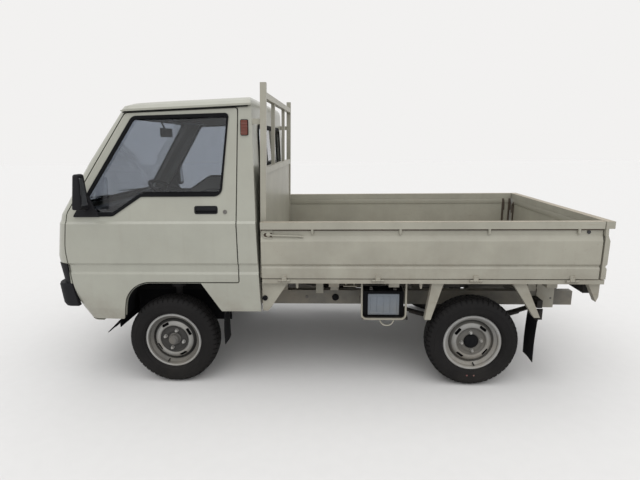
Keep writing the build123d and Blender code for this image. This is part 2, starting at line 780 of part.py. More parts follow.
def leaf_spring(side):
    """Pack of bowed leaves with its shackle and hanger on the rail."""
    y = side * SPRING_Y
    x = REAR_AXLE_X
    leaves = None
    for count, span in enumerate(LEAF_SPANS):
        half = SPRING_SPAN * span
        top = SPRING_LOW + LEAF_T * (len(LEAF_SPANS) - count)
        sag = 100 * span * span
        upper = Edge.make_three_point_arc((x - half, 0, top + sag), (x, 0, top), (x + half, 0, top + sag))
        low = Edge.make_three_point_arc(
            (x + half, 0, top + sag - LEAF_T), (x, 0, top - LEAF_T), (x - half, 0, top + sag - LEAF_T))
        ends = [Edge.make_line((x + half, 0, top + sag), (x + half, 0, top + sag - LEAF_T)),
                Edge.make_line((x - half, 0, top + sag - LEAF_T), (x - half, 0, top + sag))]
        leaf = Solid.extrude(Face(Wire([upper, ends[0], low, ends[1]])), Vector(0, 50, 0))
        leaf = leaf.moved(Location((0, y - 25, 0)))
        leaves = leaf if leaves is None else leaves + leaf
    hangers = []
    for end in (1, -1):
        eye_x = x + end * SPRING_SPAN
        near, far = sorted((side * (FRAME_Y + FRAME_W / 2), y + side * 30))
        hangers.append(block(eye_x - 16, eye_x + 16, near, far, 412, 460))
    return fuse([leaves] + hangers)


def front_suspension():
    """Cross beam under the rails, lower arms and the steering rack."""
    x = FRONT_AXLE_X
    beam_low = block(x - 40, x + 40, -330, 330, 176, 236)
    legs = [block(x - 40, x + 40, side * 345 - 25, side * 345 + 25, 176, FRAME_LOW) for side in (1, -1)]
    rack = rod((x + 118, -360, 270), (x + 118, 360, 270), 20)
    rack_feet = [block(x + 20, x + 130, side * 200 - 15, side * 200 + 15, 200, 270) for side in (1, -1)]
    arms = []
    for side in (1, -1):
        rows = [(x - 60, side * 300), (x + 60, side * 300), (x + 18, side * 550), (x - 18, side * 550)]
        if side < 0:
            rows = rows[::-1]
        arms.append(flat_prism(rows, 148, 176))
    return fuse([beam_low] + legs + [rack] + rack_feet + arms)


def fuel_tank():
    """Tank on the right side between the wheels."""
    rows = [(-640, 300, 40), (-400, 300, 40), (-400, 540, 40), (-640, 540, 40)]
    return end_prism(rows, -390, 120)


def exhaust():
    """Silencer with its pipes."""
    silencer = rod((-1080, -180, 330), (-1460, -180, 330), 70)
    tail = rod((-1440, -200, 300), (-1560, -200, 290), 20)
    front = rod((480, -230, 330), (-1100, -200, 350), 22)
    return fuse([silencer, tail, front])


# Bed

DECK_RIBS = 11
CROSS_SILLS_X = (250.0, -80.0, -430.0, -1330.0)


def bed_floor():
    """Ribbed deck in a perimeter of side sills, on cross sills over the frame."""
    front, rear = BED_FRONT_X - 38, TAILGATE_X + 6
    inner_y = HALF_W - GATE_THICK - 6
    plate = block(rear, front, -inner_y, inner_y, BED_TOP - 14, BED_TOP - 8)
    ribs = []
    pitch = 2 * (inner_y - 40) / (DECK_RIBS - 1)
    for count in range(DECK_RIBS):
        y = -inner_y + 40 + count * pitch
        ribs.append(block(rear, front, y - 22, y + 22, BED_TOP - 9, BED_TOP))
    sills = [block(rear - 30, front + 30, side * 672 - 20, side * 672 + 20, DECK_LOW, GATE_LOW - 5)
             for side in (1, -1)]
    uprights = [block(rear, front, side * 655 - 4, side * 655 + 4, DECK_LOW, BED_TOP - 9) for side in (1, -1)]
    tail = block(rear - 36, rear + 4, -692, 692, DECK_LOW, GATE_LOW - 5)
    tail_web = block(rear - 4, rear + 4, -inner_y, inner_y, DECK_LOW, BED_TOP - 9)
    head = block(front - 4, front + 34, -692, 692, DECK_LOW, GATE_LOW - 5)
    head_web = block(front - 4, front + 4, -inner_y, inner_y, DECK_LOW, BED_TOP - 9)
    shape = fuse([plate] + ribs + sills + uprights + [tail, tail_web, head, head_web])
    for x in CROSS_SILLS_X:
        shape = shape + block(x - 30, x + 30, -628, 628, 600, BED_TOP - 13)
    return shape


STAY_Y = (628.0, 668.0)


def bed_stays():
    """Feet of the bed on the frame, and the stays that hang at its sides."""
    shapes = []
    for side in (1, -1):
        for x in CROSS_SILLS_X:
            near, far = sorted((side * 320, side * 370))
            shapes.append(block(x - 26, x + 26, near, far, FRAME_TOP, 600))
        low, high = sorted((side * STAY_Y[0], side * STAY_Y[1]))
        front_stay = [(183, DECK_LOW), (336, DECK_LOW), (336, 468), (306, 466), (290, 484)]
        shapes.append(side_prism(front_stay, low, high))
        shapes.append(side_prism([(-640, DECK_LOW), (-708, DECK_LOW), (-640, 415), (-606, 415)], low, high))
        shapes.append(side_prism([(-1090, DECK_LOW), (-1166, DECK_LOW), (-1262, 432), (-1228, 432)], low, high))
        shapes.append(side_prism([(-1505, DECK_LOW), (-1572, DECK_LOW), (-1572, 560), (-1560, 530)], low, high))
    return shapes


GUARD_FOOT_X = 328.0
GUARD_TOP_X = 296.0
GUARD_TOP = 1747.0
GUARD_FOOT_Z = 667.0
POST_Y = 645.0
POST_W = 32.0


def guard_x(height):
    """Middle of the guard frame at a height."""
    return GUARD_FOOT_X + (GUARD_TOP_X - GUARD_FOOT_X) * (height - BED_TOP) / (GUARD_TOP - BED_TOP)


def guard_frame():
    """Two posts, two beams, two bars and the headboard panel between the posts."""
    shapes = []
    for side in (1, -1):
        shapes.append(beam((guard_x(660), side * POST_Y, 660), (guard_x(1755), side * (POST_Y - 30), 1755),
                           POST_W, POST_W))
        shapes.append(beam((guard_x(1270), side * 260, 1270), (guard_x(1690), side * 250, 1690), 22, 22))
    shapes.append(block(guard_x(1682) - 15, guard_x(1682) + 15, -625, 625, 1665, 1699))
    shapes.append(block(guard_x(1278) - 15, guard_x(1278) + 15, -636, 636, 1260, 1296))
    panel = [(guard_x(667) - 8, 667), (guard_x(667) + 8, 667), (guard_x(1270) + 8, 1270), (guard_x(1270) - 8, 1270)]
    shapes.append(side_prism(panel, -636, 636))
    frame = fuse(shapes) & block(200, 400, -700, 700, GUARD_FOOT_Z, GUARD_TOP)
    return fuse([frame] + cab_ties())


TIE_LOW = 1530.0
TIE_HIGH = 1560.0


def cab_ties():
    """Angle brackets from the guard's posts to the rear wall of the cab."""
    low_x, high_x = rear_x(TIE_LOW), rear_x(TIE_HIGH)
    start = guard_x(TIE_LOW)
    web = [(start, TIE_LOW), (low_x, TIE_LOW), (high_x, TIE_HIGH), (start, TIE_HIGH)]
    foot = [(low_x - 4, TIE_LOW), (low_x, TIE_LOW), (high_x, TIE_HIGH), (high_x - 4, TIE_HIGH)]
    ties = []
    for side in (1, -1):
        near, far = sorted((side * 610, side * 616))
        ties.append(side_prism(web, near, far))
        near, far = sorted((side * 580, side * 616))
        ties.append(side_prism(foot, near, far))
    return ties


# Side gate section across its sheet. Columns: y, z.
GATE_SECTION = [
    (694, GATE_LOW), (694, 732), (684, 745), (694, 758), (695, 888), (682, 919), (680, RAIL_LOW),
    (697.5, RAIL_LOW), (697.5, RAIL_TOP), (663, RAIL_TOP), (663, RAIL_LOW), (668, RAIL_LOW), (668, GATE_LOW),
]


def hinge_leaf(face):
    """Moving half of a hinge in its own frame: a cranked plate on the gate's face and its barrel.

    The hinge axis is the X axis. The face is the distance from it in to the sheet of the gate.
    """
    rows = [(-face - 1, 11), (-face - 1, 29), (-face + 3.5, 29), (-1, 6), (-1, 0), (-4.5, 0), (-face - 1, 10)]
    plate = end_prism(rows, -BARREL_HALF + BARREL_END_GAP, BARREL_HALF - BARREL_END_GAP)
    barrel = rod((-BARREL_HALF + BARREL_END_GAP, 0, 0), (BARREL_HALF - BARREL_END_GAP, 0, 0), BARREL_R)
    hole = rod((-HINGE_HALF, 0, 0), (HINGE_HALF, 0, 0), PIN_HOLE_R)
    return plate + barrel - hole


def hinge_foot(sill):
    """Fixed half of a hinge in its own frame: a lug at each end with the pin through both.

    The sill is the distance from the hinge axis in to the face of the sill.
    """
    shapes = [rod((-HINGE_HALF, 0, 0), (HINGE_HALF, 0, 0), PIN_R)]
    lug = [(-sill, -14), (-sill, -3), (-3, 3.5), (2, -4), (-3, -9)]
    for low, high in ((-HINGE_HALF, -BARREL_HALF), (BARREL_HALF, HINGE_HALF)):
        shapes.append(end_prism(lug, low, high))
        shapes.append(rod((low, 0, 0), (high, 0, 0), BARREL_R))
    plate = [(-sill, -14), (-sill, -6), (-sill + 3, -6), (-sill + 3, -14)]
    shapes.append(end_prism(plate, -HINGE_HALF, HINGE_HALF))
    return fuse(shapes)


def at_side_hinge(shape, x):
    """A shape of the hinge's frame, set on the left sill."""
    return Pos(x, GATE_HINGE_Y, GATE_HINGE_Z) * shape


def at_tail_hinge(shape, y):
    """A shape of the hinge's frame, set on the tail sill."""
    return Pos(TAIL_HINGE_X, y, GATE_HINGE_Z) * Rot(0, 0, 90) * shape


SILL_SIDE_Y = 692.0
TAIL_SILL_X = -1580.0


def gate_hinges():
    """Fixed halves of the hinges along both sills and the tail sill."""
    side_foot = hinge_foot(GATE_HINGE_Y - SILL_SIDE_Y)
    tail_foot = hinge_foot(TAIL_SILL_X - TAIL_HINGE_X)
    shapes = []
    for x in SIDE_HINGE_X:
        shapes.extend(both_sides(at_side_hinge(side_foot, x)))
    for y in TAIL_HINGE_Y:
        shapes.append(at_tail_hinge(tail_foot, y))
    return shapes


def side_gate(side):
    """Drop side: pressed sheet with a capping rail and its halves of the hinges."""
    gate = end_prism(GATE_SECTION, TAILGATE_X + 5, BED_FRONT_X - 4)
    leaf = hinge_leaf(GATE_HINGE_Y - GATE_SECTION[0][0])
    gate = fuse([gate] + [at_side_hinge(leaf, x) for x in SIDE_HINGE_X])
    return gate if side > 0 else mirror(gate, about=ACROSS)


def tailgate():
    """Tailgate with the same pressed section as the sides."""
    rows = [(TAILGATE_X - (y - 663), z) for y, z in GATE_SECTION]
    gate = side_prism(rows, -HALF_W + 1, HALF_W - 1)
    tip = block(-HALF_L, TAILGATE_X, -HALF_W, HALF_W, RAIL_LOW, RAIL_TOP)
    leaf = hinge_leaf(rows[0][0] - TAIL_HINGE_X)
    return fuse([gate, tip] + [at_tail_hinge(leaf, y) for y in TAIL_HINGE_Y])


def battery():
    """Battery on its tray under the bed."""
    return block(-495, -255, 480, 600, 403, 563)


def battery_carrier():
    """Tray on bearers from the frame, with a hoop round its open side up to the deck."""
    tray = block(-520, -244, 466, 612, 391, 403)
    legs = [block(x - 12, x + 12, FRAME_Y + FRAME_W / 2, 478, 391, 415) for x in (-395, -270)]
    low, high = 366, BED_TOP - 14
    hoop = side_prism([(-528, high, 0), (-528, low, 34), (-236, low, 34), (-236, high, 0)], 612, 626)
    inside = side_prism([(-514, high + 9, 0), (-514, low + 14, 20), (-250, low + 14, 20),
                         (-250, high + 9, 0)], 600, 640)
    return fuse([tray] + legs + [hoop - inside])


def mudguards():
    """Flaps behind the wheels and splash guards before the front wheels."""
    shapes = []
    for side in (1, -1):
        near, far = sorted((side * 530, side * 668))
        shapes.append(block(562, 568, near, far, 250, 465))
        shapes.append(block(-1252, -1246, near, far, 154, 432))
        near, far = sorted((side * 385, side * 612))
        splash = strip([(1264, 330), (1206, 400), (1206, 500)], -6)
        shapes.append(side_prism(splash, near, far))
    return shapes


def tail_lamps():
    """Lamp clusters under the tail corners with their brackets."""
    shapes = []
    for side in (1, -1):
        near, far = sorted((side * 440, side * 600))
        shapes.append(block(-1560, -1520, near, far, 560, DECK_LOW))
    return shapes


def make_frame():
    """Everything under the cab and the bed."""
    save("frame_rails", *frame_rails())
    save("cross_members", *cross_members())
    save("engine", engine())
    save("propeller_shaft", propeller_shaft())
    save("rear_axle", rear_axle())
    save("leaf_springs", leaf_spring(1), leaf_spring(-1))
    save("front_suspension", front_suspension())
    save("fuel_tank", fuel_tank())
    save("exhaust", exhaust())
    save("battery", battery())
    save("battery_carrier", battery_carrier())
    save("mudguards", *mudguards())
    save("tail_lamps", *tail_lamps())


def make_bed():
    """Deck, stays, guard frame and the three gates."""
    save("bed_floor", bed_floor())
    save("bed_stays", *bed_stays())
    save("guard_frame", guard_frame())
    save("gate_hinges", *gate_hinges())
    save("gate_left", side_gate(1))
    save("gate_right", side_gate(-1))
    save("tailgate", tailgate())


def make_inside():
    """Floor, seats, dashboard and steering wheel."""
    save("cab_floor", cab_floor())
    save("dashboard", dashboard() + column())
    save("steering_wheel", steering_wheel())
    save("seats", *seats())
    save("wipers", *wipers())


os.makedirs("parts", exist_ok=True)
make_cab()
make_doors()
make_inside()
make_wheels()
make_frame()
make_bed()
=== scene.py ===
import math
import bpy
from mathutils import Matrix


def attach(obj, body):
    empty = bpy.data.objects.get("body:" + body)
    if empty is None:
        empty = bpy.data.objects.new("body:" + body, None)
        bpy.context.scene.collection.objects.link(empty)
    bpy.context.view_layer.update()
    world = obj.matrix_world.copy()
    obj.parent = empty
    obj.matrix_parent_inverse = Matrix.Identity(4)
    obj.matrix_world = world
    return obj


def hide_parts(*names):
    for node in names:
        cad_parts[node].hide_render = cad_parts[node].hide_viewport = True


bl_info = {
    "name": "Kei truck dressing",
    "version": (1, 0, 0),
    "blender": (4, 5, 0),
    "location": "View3D > Sidebar > Truck",
    "description": "Dresses the packed kei truck with finishes, tyres, trim, fittings and a cab interior",
    "category": "Object",
}

import bpy
from bpy.props import FloatProperty, FloatVectorProperty, IntProperty, PointerProperty
from mathutils import Matrix, Vector

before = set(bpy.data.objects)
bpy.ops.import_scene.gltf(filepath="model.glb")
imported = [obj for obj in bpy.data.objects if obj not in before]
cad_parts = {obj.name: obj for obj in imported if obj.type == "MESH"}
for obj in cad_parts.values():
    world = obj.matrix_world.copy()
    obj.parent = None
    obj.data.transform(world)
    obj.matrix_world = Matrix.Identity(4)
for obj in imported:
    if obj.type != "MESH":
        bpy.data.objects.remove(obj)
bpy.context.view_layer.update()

# Camera: measured from the photograph, in metres and degrees
CAMERA_PLACE = Vector((-0.1139, 3.1218, 1.4289))
CAMERA_YAW = -2.59
CAMERA_PITCH = 12.35
CAMERA_ROLL = -0.61
CAMERA_LENS = 25.07
CAMERA_SENSOR = 36.0

# Cab side by height: height, half width
CAB_SIDE = [
    (0.380, 0.660), (0.640, 0.691), (0.694, 0.693), (0.708, 0.686), (0.748, 0.687), (0.762, 0.697),
    (0.800, 0.6975), (0.990, 0.697), (1.004, 0.689), (1.040, 0.684), (1.330, 0.647), (1.670, 0.603),
]
# Nose by height: height, reach at the centre line
CAB_NOSE = [
    (0.380, 1.420), (0.640, 1.564), (0.762, 1.579), (0.990, 1.552), (1.040, 1.536), (1.330, 1.352),
    (1.670, 1.104),
]
NOSE_BOW = 5.0
CAB_REAR_X = 0.346
CAB_REAR_FOOT = 0.470
CAB_REAR_LEAN = 0.0189

# Window outlines: two coordinates and the corner radius. First the opening inside the door's rubber
DOOR_OPENING = [
    (0.5539, 1.159, 0.034), (0.505, 1.572, 0.012), (1.0195, 1.562, 0.030), (1.3526, 1.055, 0.009),
    (1.1673, 1.055, 0.022), (1.0074, 1.159, 0.022),
]
# Outer edge of that rubber, squarer at the rear than the hole in the door
DOOR_RUBBER = [
    (0.548, 1.147, 0.042), (0.498, 1.587, 0.014), (1.030, 1.577, 0.038), (1.386, 1.035, 0.012),
    (1.168, 1.039, 0.030), (1.002, 1.147, 0.030),
]
WINDSCREEN = [(-0.592, 1.068, 0.05), (0.592, 1.068, 0.05), (0.530, 1.590, 0.055), (-0.530, 1.590, 0.055)]
REAR_WINDOW = [(-0.470, 1.170, 0.05), (0.470, 1.170, 0.05), (0.455, 1.530, 0.05), (-0.455, 1.530, 0.05)]

FRONT_AXLE_X = 0.890
REAR_AXLE_X = -0.890
WHEEL_Y = 0.607
AXLE_Z = 0.270
STEER_CENTRE = Vector((1.215, -0.340, 1.060))
STEER_AXIS = Vector((-0.5, 0.0, 0.866))

# Sides of the truck: sign across and word in the names
SIDES = ((1, "left"), (-1, "right"))


# Shader groups

def add_node(tree, kind, values=None, **settings):
    """Add a node, set its properties and give its input sockets values."""
    made = tree.nodes.new(kind)
    for key, value in settings.items():
        setattr(made, key, value)
    for key, value in (values or {}).items():
        made.inputs[key].default_value = value
    return made


def own_place(tree):
    """Place of a point in its piece's own coordinates."""
    return add_node(tree, "ShaderNodeTexCoord").outputs["Object"]


def add_relief(tree, shader, height, strength, distance):
    """Bump a surface by a height."""
    relief = add_node(tree, "ShaderNodeBump", {"Strength": strength, "Distance": distance})
    tree.links.new(height, relief.inputs["Height"])
    tree.links.new(relief.outputs["Normal"], shader.inputs["Normal"])


def open_group(name, inputs, outputs):
    """Start a shader group with named inputs and outputs."""
    tree = bpy.data.node_groups.new(name, "ShaderNodeTree")
    for label, value in inputs:
        kind = "NodeSocketColor" if isinstance(value, tuple) else "NodeSocketFloat"
        socket = tree.interface.new_socket(name=label, in_out="INPUT", socket_type=kind)
        socket.default_value = value
    for label, kind in outputs:
        tree.interface.new_socket(name=label, in_out="OUTPUT", socket_type=kind)
    return tree, tree.nodes.new("NodeGroupInput"), tree.nodes.new("NodeGroupOutput")


def ramp(tree, source, low, high, to_low=0.0, to_high=1.0):
    """Map a value smoothly from one range to another."""
    values = {"From Min": low, "From Max": high, "To Min": to_low, "To Max": to_high}
    made = add_node(tree, "ShaderNodeMapRange", values, interpolation_type="SMOOTHSTEP")
    tree.links.new(source, made.inputs["Value"])
    return made.outputs["Result"]


def maths(tree, operation, first, second, clamp=False):
    """Join two values, each a socket or a number."""
    made = add_node(tree, "ShaderNodeMath", operation=operation, use_clamp=clamp)
    for index, value in enumerate((first, second)):
        if isinstance(value, (int, float)):
            made.inputs[index].default_value = value
        else:
            tree.links.new(value, made.inputs[index])
    return made.outputs["Value"]


def noise(tree, place, scale, detail=4.0, rough=0.55):
    """Noise at a place; scale is a socket or a number."""
    made = add_node(tree, "ShaderNodeTexNoise", {"Detail": detail, "Roughness": rough})
    tree.links.new(place, made.inputs["Vector"])
    if isinstance(scale, (int, float)):
        made.inputs["Scale"].default_value = scale
    else:
        tree.links.new(scale, made.inputs["Scale"])
    return made.outputs["Fac"]


def stretched(tree, place, scale):
    """A place scaled unevenly."""
    made = add_node(tree, "ShaderNodeMapping", {"Scale": scale})
    tree.links.new(place, made.inputs["Vector"])
    return made.outputs["Vector"]


def make_groups():
    """Build the shared effects: road grime, rust, worn edges, grain, scratches and weave."""
    tree, given, out = open_group(
        "Road Grime", [("Scale", 7.0), ("Low", 0.25), ("High", 0.8), ("Amount", 0.5)],
        [("Mask", "NodeSocketFloat")])
    place = own_place(tree)
    split = add_node(tree, "ShaderNodeSeparateXYZ")
    tree.links.new(place, split.inputs["Vector"])
    fall = add_node(tree, "ShaderNodeMapRange", {"To Min": 1.0, "To Max": 0.0},
                    interpolation_type="SMOOTHSTEP")
    tree.links.new(split.outputs["Z"], fall.inputs["Value"])
    tree.links.new(given.outputs["Low"], fall.inputs["From Min"])
    tree.links.new(given.outputs["High"], fall.inputs["From Max"])
    cloud = ramp(tree, noise(tree, place, given.outputs["Scale"], 6.0, 0.65), 0.32, 0.72)
    runs = ramp(tree, noise(tree, stretched(tree, place, (38.0, 38.0, 2.4)), 1.0, 3.0), 0.5, 0.85)
    splash = maths(tree, "MULTIPLY", fall.outputs["Result"], maths(tree, "ADD", cloud, 0.25))
    streaks = maths(tree, "MULTIPLY", runs, 0.22)
    veil = maths(tree, "MULTIPLY", cloud, 0.22)
    total = maths(tree, "ADD", splash, maths(tree, "ADD", streaks, veil))
    mask = maths(tree, "MULTIPLY", total, given.outputs["Amount"], clamp=True)
    tree.links.new(mask, out.inputs["Mask"])

    tree, given, out = open_group(
        "Rust Spots", [("Scale", 26.0), ("Cover", 0.2)],
        [("Mask", "NodeSocketFloat"), ("Colour", "NodeSocketColor")])
    place = own_place(tree)
    fine = noise(tree, place, given.outputs["Scale"], 8.0, 0.7)
    wide = noise(tree, place, 2.6, 2.0, 0.5)
    level = maths(tree, "ADD", maths(tree, "MULTIPLY", fine, 0.62), maths(tree, "MULTIPLY", wide, 0.38))
    edge = maths(tree, "SUBTRACT", 0.74, maths(tree, "MULTIPLY", given.outputs["Cover"], 0.36))
    over = maths(tree, "MULTIPLY", maths(tree, "SUBTRACT", level, edge), 16.0, clamp=True)
    tree.links.new(over, out.inputs["Mask"])
    tint = add_node(tree, "ShaderNodeValToRGB")
    tint.color_ramp.elements[0].color = (0.045, 0.022, 0.014, 1.0)
    tint.color_ramp.elements[0].position = 0.3
    tint.color_ramp.elements[1].color = (0.24, 0.105, 0.045, 1.0)
    tint.color_ramp.elements[1].position = 0.75
    tree.links.new(noise(tree, place, 90.0, 5.0, 0.7), tint.inputs["Fac"])
    tree.links.new(tint.outputs["Color"], out.inputs["Colour"])

    tree, given, out = open_group(
        "Worn Edge", [("Radius", 0.004), ("Amount", 0.5)], [("Mask", "NodeSocketFloat")])
    round_off = add_node(tree, "ShaderNodeBevel", samples=4)
    tree.links.new(given.outputs["Radius"], round_off.inputs["Radius"])
    flat = add_node(tree, "ShaderNodeNewGeometry")
    match = add_node(tree, "ShaderNodeVectorMath", operation="DOT_PRODUCT")
    tree.links.new(round_off.outputs["Normal"], match.inputs[0])
    tree.links.new(flat.outputs["Normal"], match.inputs[1])
    turn = ramp(tree, match.outputs["Value"], 0.72, 0.99, 1.0, 0.0)
    place = own_place(tree)
    broken = ramp(tree, noise(tree, place, 55.0, 6.0, 0.7), 0.42, 0.62)
    mask = maths(tree, "MULTIPLY", maths(tree, "MULTIPLY", turn, broken), given.outputs["Amount"], clamp=True)
    tree.links.new(mask, out.inputs["Mask"])

    tree, given, out = open_group(
        "Surface Grain", [("Scale", 400.0), ("Waviness", 0.3)], [("Height", "NodeSocketFloat")])
    place = own_place(tree)
    fine = noise(tree, place, given.outputs["Scale"], 3.0, 0.6)
    wavy = noise(tree, place, 5.0, 1.0, 0.4)
    height = maths(tree, "ADD", fine, maths(tree, "MULTIPLY", wavy, given.outputs["Waviness"]))
    tree.links.new(height, out.inputs["Height"])

    tree, given, out = open_group(
        "Scratches", [("Amount", 0.5)], [("Mask", "NodeSocketFloat")])
    place = own_place(tree)
    first = noise(tree, stretched(tree, place, (1.2, 60.0, 60.0)), 3.0, 3.0, 0.6)
    second = noise(tree, stretched(tree, place, (30.0, 1.5, 50.0)), 3.0, 3.0, 0.6)
    lines = maths(tree, "MAXIMUM", ramp(tree, first, 0.66, 0.7), ramp(tree, second, 0.67, 0.7))
    where = ramp(tree, noise(tree, place, 3.5, 2.0), 0.45, 0.6)
    mask = maths(tree, "MULTIPLY", maths(tree, "MULTIPLY", lines, where), given.outputs["Amount"], clamp=True)
    tree.links.new(mask, out.inputs["Mask"])

    tree, given, out = open_group(
        "Woven Vinyl", [("Pitch", 260.0)], [("Height", "NodeSocketFloat"), ("Shade", "NodeSocketFloat")])
    place = own_place(tree)
    waves = []
    for direction in ("X", "Y"):
        wave = add_node(tree, "ShaderNodeTexWave", {"Distortion": 0.6}, bands_direction=direction)
        tree.links.new(place, wave.inputs["Vector"])
        tree.links.new(given.outputs["Pitch"], wave.inputs["Scale"])
        waves.append(wave.outputs["Fac"])
    weave = maths(tree, "MULTIPLY", waves[0], waves[1])
    tree.links.new(weave, out.inputs["Height"])
    shade = maths(tree, "ADD", maths(tree, "MULTIPLY", noise(tree, place, 6.0, 3.0), 0.5), 0.5)
    tree.links.new(shade, out.inputs["Shade"])


def blend_colours(tree, factor, first, second):
    """Mix two colours, each a socket or a tuple."""
    mix = add_node(tree, "ShaderNodeMix", data_type="RGBA")
    tree.links.new(factor, mix.inputs["Factor"])
    for key, value in ((6, first), (7, second)):
        if isinstance(value, tuple):
            mix.inputs[key].default_value = (*value[:3], 1.0)
        else:
            tree.links.new(value, mix.inputs[key])
    return mix.outputs[2]


def effect(tree, name, **values):
    """Place a shared effect in a material with its own values."""
    made = tree.nodes.new("ShaderNodeGroup")
    made.node_tree = bpy.data.node_groups[name]
    for key, value in values.items():
        made.inputs[key].default_value = value
    return made.outputs


FINISH = {}


def open_material(name):
    """A new material, kept under its plain name, and its surface shader."""
    material = bpy.data.materials.new(f"{name}_finish")
    material.use_nodes = True
    FINISH[name] = material
    return material.node_tree, material.node_tree.nodes["Principled BSDF"]


DUST = (0.23, 0.205, 0.165)


def weathered(name, colour, shade=0.85, grime=0.5, low=0.2, high=0.75, rust=0.0, rust_scale=26.0,
              edge=0.0, edge_colour=(0.12, 0.06, 0.035), scratch=0.0, rough=0.45, grain=300.0,
              bump=0.08, metal=0.0, coat=0.0, dust=DUST, gloss=0.5):
    """Finish with patchy colour, road grime, rust spots, scratches, worn edges and grain."""
    tree, shader = open_material(name)
    place = own_place(tree)
    patches = ramp(tree, noise(tree, place, 4.0, 5.0, 0.6), 0.3, 0.7)
    tone = blend_colours(tree, patches, tuple(c * shade for c in colour), colour)
    dirt = effect(tree, "Road Grime", Low=low, High=high, Amount=grime)["Mask"]
    tone = blend_colours(tree, dirt, tone, dust)
    matt = dirt
    if scratch:
        lines = effect(tree, "Scratches", Amount=scratch)["Mask"]
        tone = blend_colours(tree, lines, tone, edge_colour)
    if edge:
        worn = effect(tree, "Worn Edge", Radius=0.004, Amount=edge)["Mask"]
        tone = blend_colours(tree, worn, tone, edge_colour)
        matt = maths(tree, "MAXIMUM", matt, worn)
    if rust:
        spots = effect(tree, "Rust Spots", Scale=rust_scale, Cover=rust)
        tone = blend_colours(tree, spots["Mask"], tone, spots["Colour"])
        matt = maths(tree, "MAXIMUM", matt, spots["Mask"])
    tree.links.new(tone, shader.inputs["Base Color"])
    tree.links.new(ramp(tree, matt, 0.0, 1.0, rough, min(rough + 0.45, 0.95)), shader.inputs["Roughness"])
    shader.inputs["Metallic"].default_value = metal
    shader.inputs["Specular IOR Level"].default_value = gloss
    shader.inputs["Coat Weight"].default_value = coat
    shader.inputs["Coat Roughness"].default_value = 0.15
    add_relief(tree, shader, effect(tree, "Surface Grain", Scale=grain)["Height"], bump, 0.001)
    return tree, shader


def lens(name, colour, rib_scale, transmission=0.75, rough=0.12):
    """Moulded lamp lens with ribs inside it."""
    tree, shader = open_material(name)
    place = own_place(tree)
    waves = []
    for direction, scale in (("Y", rib_scale), ("Z", rib_scale * 0.6)):
        wave = add_node(tree, "ShaderNodeTexWave", {"Scale": scale}, bands_direction=direction)
        tree.links.new(place, wave.inputs["Vector"])
        waves.append(wave.outputs["Fac"])
    height = maths(tree, "ADD", waves[0], maths(tree, "MULTIPLY", waves[1], 0.5))
    add_relief(tree, shader, height, 0.5, 0.002)
    dirt = effect(tree, "Road Grime", Low=0.4, High=1.2, Amount=0.3)["Mask"]
    tree.links.new(blend_colours(tree, dirt, colour, DUST), shader.inputs["Base Color"])
    tree.links.new(ramp(tree, dirt, 0.0, 1.0, rough, 0.6), shader.inputs["Roughness"])
    shader.inputs["Transmission Weight"].default_value = transmission
    shader.inputs["IOR"].default_value = 1.49


